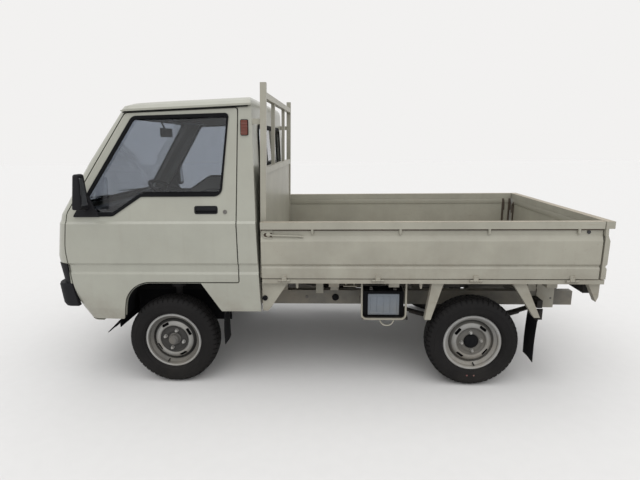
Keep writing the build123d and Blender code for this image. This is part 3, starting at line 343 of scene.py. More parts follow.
def make_finishes(colours):
    """Every material of the truck."""
    cream = tuple(colours.cab_cream)
    bed_cream = tuple(colours.bed_cream)
    black = tuple(colours.trim_black)
    silver = tuple(colours.wheel_silver)
    weathered("cab_paint", cream, shade=0.93, grime=0.5, low=0.36, high=0.66, rust=0.015, edge=0.22,
              edge_colour=(0.2, 0.17, 0.12), rough=0.34, grain=170.0, bump=0.05, coat=0.35)
    weathered("bed_paint", bed_cream, shade=0.86, grime=0.5, low=0.5, high=0.95, rust=0.16, edge=0.6,
              edge_colour=(0.16, 0.09, 0.05), scratch=0.35, rough=0.48, grain=140.0, bump=0.09, coat=0.1)
    weathered("rail_rust", (0.33, 0.29, 0.225), shade=0.8, grime=0.4, rust=0.24, rust_scale=30.0, edge=0.5,
              edge_colour=(0.15, 0.105, 0.075), scratch=0.5, rough=0.6, grain=120.0, bump=0.15)
    # Dark rust; also the painted shadow under the side gates' rails and the painted shade behind their
    # latches
    weathered("dark_rust_and_shade", (0.07, 0.05, 0.035), shade=0.6, grime=0.25, rust=0.3, rust_scale=40.0, edge=0.5,
              edge_colour=(0.08, 0.045, 0.03), rough=0.7, grain=120.0, bump=0.25)
    # The frame's cream paint darkened into painted shade, as the frame sits under the bed
    weathered("frame_paint", (0.15, 0.144, 0.124), shade=0.6, grime=0.75, low=0.2, high=0.75, rust=0.2,
              edge=0.5, rough=0.6, grain=120.0, bump=0.2)
    weathered("black_steel", (0.018, 0.017, 0.017), shade=0.7, grime=0.55, low=0.1, high=0.6, rust=0.2,
              edge=0.4, rough=0.6, grain=160.0, bump=0.2, dust=(0.06, 0.054, 0.045), gloss=0.2)
    weathered("wheel_silver", silver, shade=0.72, grime=0.55, low=0.05, high=0.5, rust=0.22,
              rust_scale=48.0, edge=0.35, rough=0.42, grain=240.0, bump=0.12, metal=0.35)
    # Brake dust in the rear wheels' dishes, and painted shade on the front wheels' barrels
    weathered("wheel_dust_and_shade", (0.11, 0.107, 0.1), shade=0.7, grime=0.3, low=0.05, high=0.5, rust=0.2,
              rust_scale=48.0, rough=0.6, grain=240.0, bump=0.15, gloss=0.3)
    weathered("wheel_shadow", (0.05, 0.0485, 0.046), shade=0.7, grime=0.2, low=0.05, high=0.5, rough=0.7,
              grain=240.0, bump=0.15, dust=(0.06, 0.055, 0.048), gloss=0.2)
    # Brighter paint on the rims' rolled lips: painted highlight
    weathered("wheel_lip_highlight", (0.4, 0.4, 0.39), shade=0.75, grime=0.35, low=0.05, high=0.4, rust=0.14,
              rust_scale=48.0, edge=0.3, rough=0.4, grain=240.0, bump=0.12, metal=0.3)
    weathered("worn_casting", (0.16, 0.155, 0.15), shade=0.6, grime=0.7, low=0.1, high=0.7, rust=0.28,
              edge=0.3, rough=0.55, grain=90.0, bump=0.3, metal=0.5)
    weathered("bright_steel", (0.5, 0.5, 0.49), shade=0.75, grime=0.35, rust=0.2, rust_scale=70.0,
              rough=0.3, grain=200.0, bump=0.08, metal=0.9)
    weathered("black_plastic", black, shade=0.8, grime=0.15, low=0.3, high=0.8, edge=0.25,
              edge_colour=(0.04, 0.04, 0.042), rough=0.55, grain=520.0, bump=0.25,
              dust=(0.04, 0.038, 0.034), gloss=0.1)
    weathered("grey_plastic", (0.075, 0.076, 0.078), shade=0.8, grime=0.3, low=0.4, high=0.7, edge=0.2,
              edge_colour=(0.16, 0.16, 0.16), rough=0.55, grain=620.0, bump=0.3, gloss=0.3)
    weathered("floor_rubber", (0.012, 0.0118, 0.012), shade=0.8, grime=0.3, low=0.3, high=0.7, rough=0.8,
              grain=300.0, bump=0.3, dust=(0.035, 0.032, 0.027), gloss=0.12)
    weathered("battery_shell", (0.16, 0.185, 0.215), shade=0.75, grime=0.4, low=0.35, high=0.6,
              rough=0.35, grain=90.0, bump=0.1)
    weathered("tyre_rubber", (0.0105, 0.0098, 0.01), shade=0.75, grime=0.22, low=-0.05, high=0.25,
              rough=0.7, grain=260.0, bump=0.3, dust=(0.05, 0.045, 0.038), gloss=0.14)
    # Black rubber; also the black sheets that paint shade behind the vent slots, in the front arches and
    # under the roof gutters
    weathered("flap_rubber", (0.0072, 0.0074, 0.0085), shade=0.8, grime=0.12, low=0.1, high=0.42,
              rough=0.75, grain=180.0, bump=0.2, dust=(0.05, 0.046, 0.04), gloss=0.08)
    weathered("reflector", (0.85, 0.85, 0.84), shade=0.9, grime=0.1, rough=0.08, grain=30.0, bump=0.05,
              metal=1.0)
    weathered("mirror_glass", (0.62, 0.64, 0.66), shade=0.97, grime=0.12, rough=0.04, grain=10.0,
              bump=0.01, metal=1.0)
    # Dark faces of the gauges, radio and lock slits; also the painted shade in the gates' pin holes
    weathered("dark_face_and_shade", (0.02, 0.02, 0.022), shade=0.9, grime=0.1, rough=0.3, grain=500.0, bump=0.05)
    weathered("red_paint_dot", (0.22, 0.045, 0.045), shade=0.6, grime=0.35, low=0.0, high=0.3, rough=0.6,
              grain=200.0, bump=0.2)
    lens("clear_lens", (0.82, 0.84, 0.84), 24.0, 0.9, 0.05)
    lens("amber_lens", (0.16, 0.036, 0.02), 34.0, 0.3, 0.16)
    lens("red_lens", (0.42, 0.012, 0.012), 34.0, 0.35, 0.18)

    tree, shader = open_material("window_glass")
    dirt = effect(tree, "Road Grime", Low=0.9, High=1.3, Amount=0.22)["Mask"]
    tone = blend_colours(tree, dirt, (0.47, 0.5, 0.545), (0.4, 0.4, 0.39))
    tree.links.new(tone, shader.inputs["Base Color"])
    tree.links.new(ramp(tree, dirt, 0.0, 1.0, 0.015, 0.3), shader.inputs["Roughness"])
    shader.inputs["Transmission Weight"].default_value = 1.0
    shader.inputs["IOR"].default_value = 1.5

    tree, shader = open_material("seat_vinyl")
    weave = effect(tree, "Woven Vinyl", Pitch=90.0)
    tone = blend_colours(tree, weave["Shade"], (0.065, 0.06, 0.055), (0.15, 0.14, 0.125))
    place = own_place(tree)
    worn = ramp(tree, noise(tree, place, 9.0, 6.0), 0.55, 0.8)
    tree.links.new(blend_colours(tree, worn, tone, (0.2, 0.185, 0.16)), shader.inputs["Base Color"])
    tree.links.new(ramp(tree, worn, 0.0, 1.0, 0.55, 0.8), shader.inputs["Roughness"])
    add_relief(tree, shader, weave["Height"], 0.5, 0.0015)
    shader.inputs["Sheen Weight"].default_value = 0.15


# Modelling helpers

def start():
    """Leave edit mode and select nothing."""
    if bpy.context.mode != "OBJECT":
        bpy.ops.object.mode_set(mode="OBJECT")
    bpy.ops.object.select_all(action="DESELECT")


def work_on(piece):
    """Make one piece the only selected and active one."""
    start()
    piece.select_set(True)
    bpy.context.view_layer.objects.active = piece
    return piece


def edit_all(piece):
    """Open a piece in edit mode with everything selected."""
    work_on(piece)
    bpy.ops.object.mode_set(mode="EDIT")
    bpy.ops.mesh.select_mode(type="FACE")
    bpy.ops.mesh.select_all(action="SELECT")


def edit_faces(piece, rule):
    """Open a piece in edit mode with the faces selected whose middle and normal pass the rule."""
    edit_all(piece)
    bpy.ops.mesh.select_all(action="DESELECT")
    bpy.ops.object.mode_set(mode="OBJECT")
    for face in piece.data.polygons:
        face.select = bool(rule(face.center, face.normal))
    bpy.ops.object.mode_set(mode="EDIT")


def close_edit():
    """Go back to object mode."""
    bpy.ops.object.mode_set(mode="OBJECT")


def point_outwards(piece):
    """Merge doubles and turn all faces outwards."""
    edit_all(piece)
    bpy.ops.mesh.remove_doubles(threshold=0.00005)
    bpy.ops.mesh.delete_loose()
    bpy.ops.mesh.select_all(action="SELECT")
    bpy.ops.mesh.normals_make_consistent(inside=False)
    close_edit()
    return piece


def with_modifier(piece, kind, **settings):
    """Add a modifier, set it and apply it."""
    work_on(piece)
    modifier = piece.modifiers.new(kind.title(), kind)
    for key, value in settings.items():
        setattr(modifier, key, value)
    bpy.ops.object.modifier_apply(modifier=modifier.name)
    return piece


def soften(piece, width, steps=2):
    """Round the sharp edges of a piece."""
    if not width:
        return piece
    return with_modifier(piece, "BEVEL", width=width, segments=steps, limit_method="ANGLE",
                         angle_limit=math.radians(35), harden_normals=False)


def plate(points, push, bevel=0.0, steps=2):
    """Plate from its corner points in space, thickened by a push."""
    start()
    bpy.ops.mesh.primitive_circle_add(vertices=len(points), radius=0.1, fill_type="NGON")
    piece = bpy.context.object
    for vertex, place in zip(piece.data.vertices, points):
        vertex.co = place
    edit_all(piece)
    bpy.ops.mesh.extrude_region_move(TRANSFORM_OT_translate={"value": tuple(push)})
    close_edit()
    point_outwards(piece)
    return soften(piece, bevel, steps)


def block(low, high, bevel=0.003, steps=2):
    """Box between two corners with rounded edges."""
    start()
    low, high = Vector(low), Vector(high)
    size = Vector([abs(a - b) for a, b in zip(low, high)])
    bpy.ops.mesh.primitive_cube_add(size=1.0, location=(low + high) / 2, scale=size)
    piece = bpy.context.object
    bpy.ops.object.transform_apply(location=True, rotation=True, scale=True)
    return soften(piece, bevel, steps)


def bar(points, radius, closed=False, smooth=False, rounds=2):
    """Round bar along points."""
    start()
    bpy.ops.curve.primitive_nurbs_path_add()
    piece = bpy.context.object
    curve = piece.data
    curve.splines.clear()
    spline = curve.splines.new("NURBS" if smooth else "POLY")
    spline.points.add(len(points) - 1)
    for point, place in zip(spline.points, points):
        point.co = (*place, 1.0)
    spline.use_cyclic_u = closed
    if smooth:
        spline.order_u = 3
        spline.use_endpoint_u = not closed
    curve.dimensions = "3D"
    curve.bevel_depth = radius
    curve.bevel_resolution = rounds
    curve.use_fill_caps = True
    bpy.ops.object.convert(target="MESH")
    return point_outwards(bpy.context.object)


def turned(profile, centre, axis=(0, 1, 0), steps=48):
    """Closed row of (offset along the axis, radius) turned about the axis."""
    start()
    along = Vector(axis).normalized()
    out = along.orthogonal().normalized()
    bpy.ops.mesh.primitive_circle_add(vertices=len(profile), radius=0.1, fill_type="NOTHING")
    piece = bpy.context.object
    for vertex, (offset, radius) in zip(piece.data.vertices, profile):
        vertex.co = Vector(centre) + along * offset + out * radius
    edit_all(piece)
    bpy.ops.mesh.select_mode(type="VERT")
    bpy.ops.mesh.select_all(action="SELECT")
    bpy.ops.mesh.spin(steps=steps, angle=2 * math.pi, center=tuple(centre), axis=tuple(along))
    close_edit()
    return point_outwards(piece)


def band(outer, inner, push, bevel=0.0, steps=2):
    """Closed frame between two rows of points, thickened by a push."""
    start()
    count = len(outer)
    bpy.ops.mesh.primitive_circle_add(vertices=count, radius=0.1, fill_type="NOTHING")
    piece = bpy.context.object
    for vertex, place in zip(piece.data.vertices, outer):
        vertex.co = place
    edit_all(piece)
    bpy.ops.mesh.select_mode(type="EDGE")
    bpy.ops.mesh.select_all(action="SELECT")
    bpy.ops.mesh.extrude_edges_move(TRANSFORM_OT_translate={"value": (0.0, 0.0, 0.01)})
    close_edit()
    for index, place in enumerate(inner):
        piece.data.vertices[count + index].co = place
    edit_all(piece)
    bpy.ops.mesh.extrude_region_move(TRANSFORM_OT_translate={"value": tuple(push)})
    close_edit()
    point_outwards(piece)
    return soften(piece, bevel, steps)


def joined(pieces):
    """Join pieces into one."""
    start()
    for piece in pieces:
        piece.select_set(True)
    bpy.context.view_layer.objects.active = pieces[0]
    if len(pieces) > 1:
        bpy.ops.object.join()
    return pieces[0]


def copy_of(piece, shift=(0, 0, 0), turn=None):
    """A copy with its own mesh, turned by a matrix and moved."""
    work_on(piece)
    bpy.ops.object.duplicate()
    made = bpy.context.object
    if turn is not None:
        made.data.transform(turn)
    made.data.transform(Matrix.Translation(shift))
    return made


def settle(piece, name, finish, body, smooth=40.0):
    """Name a piece, put its place in its mesh, give it a finish and let it ride on a body."""
    work_on(piece)
    bpy.ops.object.transform_apply(location=True, rotation=True, scale=True)
    if smooth:
        bpy.ops.object.shade_smooth_by_angle(angle=math.radians(smooth))
    piece.name = name
    piece.data.name = name
    piece.data.materials.clear()
    piece.data.materials.append(FINISH[finish])
    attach(piece, body)
    return piece


def between(table, height):
    """Value of a table at a height, on the straight line between its rows."""
    for (z_low, low), (z_high, high) in zip(table, table[1:]):
        if height <= z_high:
            break
    share = max(0.0, min(1.0, (height - z_low) / (z_high - z_low)))
    return low + (high - low) * share


def side_place(x, height, proud, side=1):
    """Point on the cab side, or proud of it."""
    return Vector((x, side * (between(CAB_SIDE, height) + proud), height))


def nose_place(y, height, proud):
    """Point on the bowed nose, or proud of it."""
    reach = between(CAB_NOSE, height) - NOSE_BOW + math.sqrt(NOSE_BOW ** 2 - y ** 2)
    return Vector((reach + proud, y, height))


def rear_place(y, height, proud):
    """Point on the cab's leaning rear wall, or behind it."""
    return Vector((CAB_REAR_X + (height - CAB_REAR_FOOT) * CAB_REAR_LEAN - proud, y, height))


def rounded(rows, steps=6):
    """Outline with its corners rounded. Rows hold two coordinates and a radius."""
    points = []
    count = len(rows)
    for index, (u, v, radius) in enumerate(rows):
        corner = Vector((u, v))
        back = (Vector(rows[index - 1][:2]) - corner).normalized()
        ahead = (Vector(rows[(index + 1) % count][:2]) - corner).normalized()
        half = back.angle(ahead) / 2
        reach = radius / math.tan(half)
        middle = corner + (back + ahead).normalized() * (radius / math.sin(half))
        first = corner + back * reach - middle
        last = corner + ahead * reach - middle
        begin = math.atan2(first.y, first.x)
        swing = (math.atan2(last.y, last.x) - begin + math.pi) % (2 * math.pi) - math.pi
        for step in range(steps + 1):
            turn = begin + swing * step / steps
            points.append(middle + Vector((math.cos(turn), math.sin(turn))) * radius)
    return points


def moved_in(points, amount):
    """Outline moved along its own normals; positive goes inwards."""
    count = len(points)
    area = sum(points[i - 1].x * points[i].y - points[i].x * points[i - 1].y for i in range(count))
    turn = 1 if area > 0 else -1
    result = []
    for index, point in enumerate(points):
        run = (points[(index + 1) % count] - points[index - 1]).normalized()
        result.append(point + Vector((-run.y, run.x)) * amount * turn)
    return result


def bolt(place, axis, radius=0.007, reach=0.005, sides=6):
    """Hexagon bolt head with a washer."""
    along = Vector(axis).normalized()
    wide = radius * 1.35
    washer = turned([(0.0, 0.0), (0.0, wide), (0.0012, wide), (0.0012, 0.0)], place, along, 16)
    shape = [(0.001, 0.0), (0.001, radius), (reach * 0.85, radius), (reach, radius * 0.8), (reach, 0.0)]
    return joined([washer, turned(shape, place, along, sides)])


def bolts(places, axis, radius, reach, sides=6):
    """Bolts at several places, as one piece."""
    return joined([bolt(place, axis, radius, reach, sides) for place in places])


def pegs(section, places):
    """Turned pegs that hang down from their places, as one piece."""
    return joined([turned(section, place, (0, 0, -1), 14) for place in places])


def side_block(side, low, high, bevel=0.003, steps=2):
    """Box given by its corners on the left side, made on either side."""
    return block((low[0], side * low[1], low[2]), (high[0], side * high[1], high[2]), bevel, steps)


def plate_along(rows, y, push, bevel=0.0, steps=2):
    """Plate with its outline given along the truck and in height, at one distance across."""
    return plate([Vector((x, y, z)) for x, z in rows], push, bevel, steps)


def plate_on(place, rows, proud, push, bevel=0.0, steps=2):
    """Plate with its outline on a surface, or proud of it."""
    return plate([place(u, v, proud) for u, v in rows], push, bevel, steps)


def frame_on(place, rows, outward, inward, proud, push, bevel, steps=2):
    """Closed frame on a surface that reaches outward and inward from an outline."""
    outer = [place(u, v, proud) for u, v in moved_in(rows, -outward)]
    inner = [place(u, v, proud) for u, v in moved_in(rows, inward)]
    return band(outer, inner, push, bevel, steps)


def on_side(side):
    """Surface of the cab's side, for plate_on and frame_on."""
    return lambda x, height, proud: side_place(x, height, proud, side)


def swung(first, second, degrees):
    """Two axes turned in their own plane."""
    turn = math.radians(degrees)
    return (math.cos(turn) * first + math.sin(turn) * second,
            math.cos(turn) * second - math.sin(turn) * first)


# Sizes and colours that a user would change

class TruckColours(bpy.types.PropertyGroup):
    """Colours of the truck."""
    cab_cream: FloatVectorProperty(name="Cab cream", description="Colour of the cab paint", subtype="COLOR",
                                   size=3, min=0.0, max=1.0, default=(0.347, 0.347, 0.295))
    bed_cream: FloatVectorProperty(name="Bed cream", description="Colour of the bed paint", subtype="COLOR",
                                   size=3, min=0.0, max=1.0, default=(0.335, 0.322, 0.265))
    trim_black: FloatVectorProperty(name="Trim black", description="Colour of the outer plastic",
                                    subtype="COLOR", size=3, min=0.0, max=1.0, default=(0.014, 0.014, 0.016))
    wheel_silver: FloatVectorProperty(name="Wheel silver", description="Colour of the wheel paint",
                                      subtype="COLOR", size=3, min=0.0, max=1.0, default=(0.3, 0.3, 0.29))
    floor_grey: FloatVectorProperty(name="Floor", description="Colour of the studio floor", subtype="COLOR",
                                    size=3, min=0.0, max=1.0, default=(0.62, 0.61, 0.6))


class TruckSizes(bpy.types.PropertyGroup):
    """Sizes of the truck's trim and tyres."""
    gasket: FloatProperty(name="Window gasket", description="Width of the rubber round the windows",
                          unit="LENGTH", default=0.022, min=0.008, max=0.05)
    tread_depth: FloatProperty(name="Tread depth", description="Depth of the tyre grooves", unit="LENGTH",
                               default=0.0065, min=0.001, max=0.012)
    tread_blocks: IntProperty(name="Tread blocks", description="Blocks round each tyre", default=52, min=20,
                              max=90)
    seat_crown: FloatProperty(name="Seat crown", description="How far the seat pads may swell",
                              unit="LENGTH", default=0.014, min=0.0, max=0.03)
    lamp_strength: FloatProperty(name="Lamp strength", description="Strength of the broad studio lamp",
                                 default=2.1, min=0.0, max=20.0)
    fill_strength: FloatProperty(name="Fill strength", description="Strength of the light from all round",
                                 default=0.8, min=0.0, max=4.0)


FLOOR_SIZE = 60.0
LAMP_PLACE = (-0.6, 1.6, 6.0)
LAMP_AIM = Vector((0.08, -0.26, -0.96))
LAMP_SPREAD = 90
SKY_TINT = (0.97, 0.985, 1.0, 1.0)
BACKDROP = (0.888, 0.88, 0.871, 1.0)


class TRUCK_OT_stage(bpy.types.Operator):
    """Floor, lamps, world and the camera at the photograph's viewing angle"""
    bl_idname = "truck.stage"
    bl_label = "Stage"

    def execute(self, context):
        scene = context.scene
        scene.view_settings.view_transform = "Standard"
        start()
        bpy.ops.mesh.primitive_plane_add(size=FLOOR_SIZE, location=(0, 0, 0))
        floor = context.object
        floor.name = "studio_floor"
        tree, shader = open_material("studio_floor")
        shader.inputs["Roughness"].default_value = 0.9
        place = own_place(tree)
        pale = tuple(scene.truck_colours.floor_grey)
        mottle = ramp(tree, noise(tree, place, 14.0, 5.0), 0.3, 0.7)
        tone = blend_colours(tree, mottle, tuple(c * 0.985 for c in pale), pale)
        tree.links.new(tone, shader.inputs["Base Color"])
        floor.data.materials.append(FINISH["studio_floor"])

        world = bpy.data.worlds.new("studio")
        scene.world = world
        world.use_nodes = True
        tree = world.node_tree
        tree.nodes.clear()
        light_path = add_node(tree, "ShaderNodeLightPath")
        seen = maths(tree, "MAXIMUM", light_path.outputs["Is Camera Ray"],
                     maths(tree, "MAXIMUM", light_path.outputs["Is Glossy Ray"],
                           light_path.outputs["Is Transmission Ray"]))
        ambient = add_node(tree, "ShaderNodeBackground", {"Color": SKY_TINT})
        ambient.inputs["Strength"].default_value = scene.truck_sizes.fill_strength
        shown = add_node(tree, "ShaderNodeBackground", {"Color": BACKDROP, "Strength": 1.0})
        mixed = add_node(tree, "ShaderNodeMixShader")
        tree.links.new(seen, mixed.inputs[0])
        tree.links.new(ambient.outputs[0], mixed.inputs[1])
        tree.links.new(shown.outputs[0], mixed.inputs[2])
        out = add_node(tree, "ShaderNodeOutputWorld")
        tree.links.new(mixed.outputs[0], out.inputs["Surface"])

        start()
        bpy.ops.object.light_add(type="SUN", location=LAMP_PLACE)
        lamp = context.object
        lamp.name = "broad_lamp"
        lamp.data.angle = math.radians(LAMP_SPREAD)
        lamp.data.energy = scene.truck_sizes.lamp_strength
        lamp.rotation_euler = LAMP_AIM.to_track_quat("-Z", "Y").to_euler()

        forward = Vector((0, -1, 0))
        right = Vector((-1, 0, 0))
        up = Vector((0, 0, 1))
        forward, right = swung(forward, right, CAMERA_YAW)
        forward, up = swung(forward, up, -CAMERA_PITCH)
        right, up = swung(right, up, CAMERA_ROLL)
        start()
        bpy.ops.object.camera_add(location=CAMERA_PLACE)
        camera = context.object
        camera.name = "photo_camera"
        camera.data.lens = CAMERA_LENS
        camera.data.sensor_width = CAMERA_SENSOR
        camera.data.sensor_fit = "HORIZONTAL"
        axes = Matrix((right, up, -forward)).transposed()
        camera.matrix_world = Matrix.Translation(CAMERA_PLACE) @ axes.to_4x4()
        scene.camera = camera
        return {"FINISHED"}


# Finish of each node of the frame file; nodes that a piece stands for keep theirs out of sight
NODE_FINISH = {
    "front_panel": "cab_paint", "cab_pillars": "cab_paint", "rear_wall": "cab_paint", "roof": "cab_paint",
    "door_left": "cab_paint", "door_right": "cab_paint", "front_bumper": "black_plastic",
    "front_garnish": "black_plastic", "headlamps": "clear_lens", "amber_lamps": "amber_lens",
    "tail_lamps": "black_steel", "cab_glass": "window_glass", "door_glass_left": "window_glass",
    "door_glass_right": "window_glass", "cab_floor": "floor_rubber", "dashboard": "grey_plastic",
    "frame_rails": "frame_paint", "cross_members": "frame_paint", "engine": "worn_casting",
    "propeller_shaft": "black_steel", "rear_axle": "black_steel", "leaf_springs": "black_steel",
    "front_suspension": "black_steel", "fuel_tank": "black_steel", "exhaust": "worn_casting",
    "battery_carrier": "frame_paint", "bed_floor": "bed_paint", "gate_hinges": "bed_paint",
    "bed_stays": "bed_paint", "guard_frame": "bed_paint", "gate_left": "bed_paint",
    "gate_right": "bed_paint", "tailgate": "bed_paint", "knuckle_left": "black_steel",
    "knuckle_right": "black_steel",
}


class TRUCK_OT_finishes(bpy.types.Operator):
    """Make the finishes and put them on the CAD nodes that stay"""
    bl_idname = "truck.finishes"
    bl_label = "Finishes"

    def execute(self, context):
        make_groups()
        make_finishes(context.scene.truck_colours)
        for name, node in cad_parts.items():
            finish = NODE_FINISH.get(name)
            if finish is None:
                continue
            for slot in node.material_slots:
                slot.material = FINISH[finish]
            if not node.material_slots:
                node.data.materials.append(FINISH[finish])
        return {"FINISHED"}


# Wheels: name, place along the truck, side, and how far the tyre and the rim are turned, in degrees
WHEELS = [
    ("front_left", FRONT_AXLE_X, 1, 17, -17), ("front_right", FRONT_AXLE_X, -1, 17, -17),
    ("rear_left", REAR_AXLE_X, 1, 5, 7), ("rear_right", REAR_AXLE_X, -1, 5, 7),
]
# Tyre outside: offset across, radius
TYRE_OUTSIDE = [
    (0.047, 0.1545), (0.0485, 0.166), (0.053, 0.172), (0.059, 0.1765), (0.0625, 0.1765), (0.0655, 0.181),
    (0.069, 0.189), (0.0705, 0.189), (0.0715, 0.195), (0.0722, 0.204), (0.0722, 0.214), (0.0712, 0.224),
    (0.0722, 0.2255), (0.0712, 0.2285), (0.069, 0.238), (0.0655, 0.247), (0.0625, 0.2535), (0.0585, 0.2578),
    (0.052, 0.2622), (0.0435, 0.2658), (0.0405, 0.2664), (0.036, 0.267), (0.026, 0.2682), (0.0165, 0.2692),
    (0.0125, 0.2694), (0.005, 0.2698),
]
# Half of the tyre's inside: offset across, radius
TYRE_INSIDE = [
    (0.045, 0.252), (0.060, 0.234), (0.061, 0.205), (0.050, 0.186), (0.037, 0.172), (0.036, 0.1545),
]
TYRE_INSIDE_TOP = (0.0, 0.2555)
TREAD_GROOVES = (0.038, 0.0145)
GROOVE_HALF = 0.0035
GROOVE_FLOOR = 0.2655
TREAD_HALF = 0.045
TREAD_LOW = 0.262
ZIGZAG = 0.0024
STEPS_PER_BLOCK = 4
# Rows with pressed-in steps: two places across, least radius, and which step on the left and right
TREAD_ROWS = ((0.0400, 0.0640, 0.2500, 0, 2), (0.0165, 0.0362, 0.2662, 1, 3))
DOT_SECTION = [(-0.002, 0.0), (-0.002, 0.0055), (0.0008, 0.0045), (0.0008, 0.0)]


def wheel_turn(spot, steps):
    """Angle of a place round the wheel's axis, counted in steps."""
    return math.atan2(spot.z, spot.x) / (2 * math.pi) * steps


class TRUCK_OT_tyres(bpy.types.Operator):
    """Tyres with zigzag grooves and shoulder blocks"""
    bl_idname = "truck.tyres"
    bl_label = "Tyres"

    def execute(self, context):
        sizes = context.scene.truck_sizes
        depth = sizes.tread_depth
        steps = sizes.tread_blocks * STEPS_PER_BLOCK
        outside = TYRE_OUTSIDE + [(-y, r) for y, r in TYRE_OUTSIDE[::-1]]
        inside = [(-y, r) for y, r in TYRE_INSIDE[::-1]] + [TYRE_INSIDE_TOP] + TYRE_INSIDE
        tyre = turned(outside + inside, (0, 0, 0), steps=steps)
        for vertex in tyre.data.vertices:
            spot = vertex.co
            if math.hypot(spot.x, spot.z) >= TREAD_LOW and abs(spot.y) <= TREAD_HALF:
                wave = abs((wheel_turn(spot, steps) % STEPS_PER_BLOCK) - 2) - 1
                spot.y += wave * ZIGZAG

        def groove_face(middle, normal):
            if math.hypot(middle.x, middle.z) < GROOVE_FLOOR:
                return False
            return any(abs(abs(middle.y) - place) < GROOVE_HALF for place in TREAD_GROOVES)

        def block_face(middle, normal):
            radius = math.hypot(middle.x, middle.z)
            turn = int(math.floor(wheel_turn(middle, steps) + 0.5 * steps)) % STEPS_PER_BLOCK
            across = abs(middle.y)
            return any(low < across < high and radius > least and turn == (left if middle.y > 0 else right)
                       for low, high, least, left, right in TREAD_ROWS)

        for rule, share in ((groove_face, 1.0), (block_face, 0.75)):
            edit_faces(tyre, rule)
            bpy.ops.mesh.extrude_region_shrink_fatten(
                TRANSFORM_OT_shrink_fatten={"value": -depth * share})
            close_edit()
        for name, x, side, tyre_turn, _ in WHEELS:
            turn = Matrix.Rotation(math.radians(tyre_turn), 4, "Y")
            made = copy_of(tyre, (x, side * WHEEL_Y, AXLE_Z), turn)
            settle(made, f"treaded_tyre_{name}", "tyre_rubber", f"{name}_wheel", 32.0)
            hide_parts(f"tyre_{name}")
        for word, along in (("rear", -0.016), ("front", 0.024)):
            spot = Vector((REAR_AXLE_X + along, WHEEL_Y + 0.0718, AXLE_Z - 0.2))
            dot = turned(DOT_SECTION, spot, (0, 1, 0), 14)
            settle(dot, f"paint_dot_{word}", "red_paint_dot", "rear_left_wheel")
        bpy.data.objects.remove(tyre)
        return {"FINISHED"}


# Rim and disc sections: offset across, radius
RIM_SECTION = [
    (0.0535, 0.1655), (0.0500, 0.1695), (0.0455, 0.1690), (0.0450, 0.1560), (0.0350, 0.1545),
    (0.0240, 0.1370), (-0.0180, 0.1370), (-0.0280, 0.1510), (-0.0460, 0.1530), (-0.0465, 0.1675),
    (-0.0510, 0.1695), (-0.0540, 0.1655), (-0.0505, 0.1500), (-0.0285, 0.1470), (-0.0185, 0.1330),
    (0.0245, 0.1330), (0.0360, 0.1490), (0.0485, 0.1510), (0.0520, 0.1580),
]
DISC_SECTION = [
    (0.0060, 0.1345), (0.0060, 0.1290), (0.0170, 0.1240), (0.0300, 0.1150), (0.0380, 0.1040),
    (0.0405, 0.0960), (0.0395, 0.0905), (0.0340, 0.0850), (0.0270, 0.0810), (0.0240, 0.0740),
    (0.0250, 0.0660), (0.0285, 0.0600), (0.0285, 0.0480), (0.0250, 0.0420), (0.0250, 0.0200),
    (0.0210, 0.0200), (0.0210, 0.0400), (0.0240, 0.0470), (0.0240, 0.0600), (0.0205, 0.0660),
    (0.0195, 0.0745), (0.0225, 0.0835), (0.0300, 0.0885), (0.0350, 0.0915), (0.0360, 0.0960),
    (0.0340, 0.1020), (0.0270, 0.1120), (0.0150, 0.1200), (0.0020, 0.1260), (0.0020, 0.1345),
]
# Stretches of those sections with their own colour: a painted highlight on the lip, and dust and painted
# shade in the dish and on the slope
RIM_LIP_HIGHLIGHT = [(0.0515, 0.1570), (0.0520, 0.1580), (0.0535, 0.1655), (0.0502, 0.1694)]
DISC_DISH = [(0.0250, 0.0200), (0.0250, 0.0420), (0.0285, 0.0480), (0.0285, 0.0600), (0.0250, 0.0660),
             (0.0240, 0.0740), (0.0270, 0.0810), (0.0340, 0.0850)]
DISC_SLOPE = [(0.0300, 0.1150), (0.0170, 0.1240), (0.0060, 0.1290), (0.0060, 0.1330)]
# Drum, a dark backing behind the vent slots that paints the shade there, hub caps, nuts and studs: offset
# across, radius
DRUM_SECTION = [
    (-0.034, 0.0), (-0.034, 0.092), (-0.026, 0.096), (0.012, 0.096), (0.016, 0.09), (0.0195, 0.058),
    (0.0195, 0.0),
]
SHADE_BACKING_SECTION = [(0.0165, 0.086), (0.0165, 0.117), (0.0178, 0.117), (0.0178, 0.086)]
GREY_CAP = [
    (0.018, 0.0), (0.018, 0.036), (0.028, 0.036), (0.031, 0.031), (0.052, 0.0298), (0.0545, 0.0275),
    (0.0565, 0.0275), (0.0575, 0.0235), (0.062, 0.0225), (0.064, 0.0195), (0.064, 0.0),
]
BLACK_CAP = [
    (0.018, 0.0), (0.018, 0.0425), (0.029, 0.0425), (0.0345, 0.0395), (0.0385, 0.0335), (0.0405, 0.024),
    (0.0413, 0.012), (0.0413, 0.0),
]
NUT_SECTION = [
    (0.0, 0.0), (0.0, 0.0115), (0.003, 0.0115), (0.0035, 0.0098), (0.0155, 0.0098), (0.0175, 0.008),
    (0.0185, 0.0),
]
STUD_SECTION = [(0.016, 0.0), (0.016, 0.0045), (0.0235, 0.0045), (0.0245, 0.0035), (0.0245, 0.0)]
NUT_CIRCLE = 0.05715
NUT_SEAT = 0.028
NUT_COUNT = 4
# Corners of the block that cuts a vent slot
VENT_SLOT = ((0.0950, -0.02, -0.0235), (0.1112, 0.07, 0.0235))


def skin(rows):
    """Closed section of a thin skin over a row of (offset, radius); the skins carry a painted highlight and
    painted shade.
    """
    return [(offset + 0.0005, radius) for offset, radius in rows] + [
        (offset + 0.0001, radius) for offset, radius in reversed(rows)]


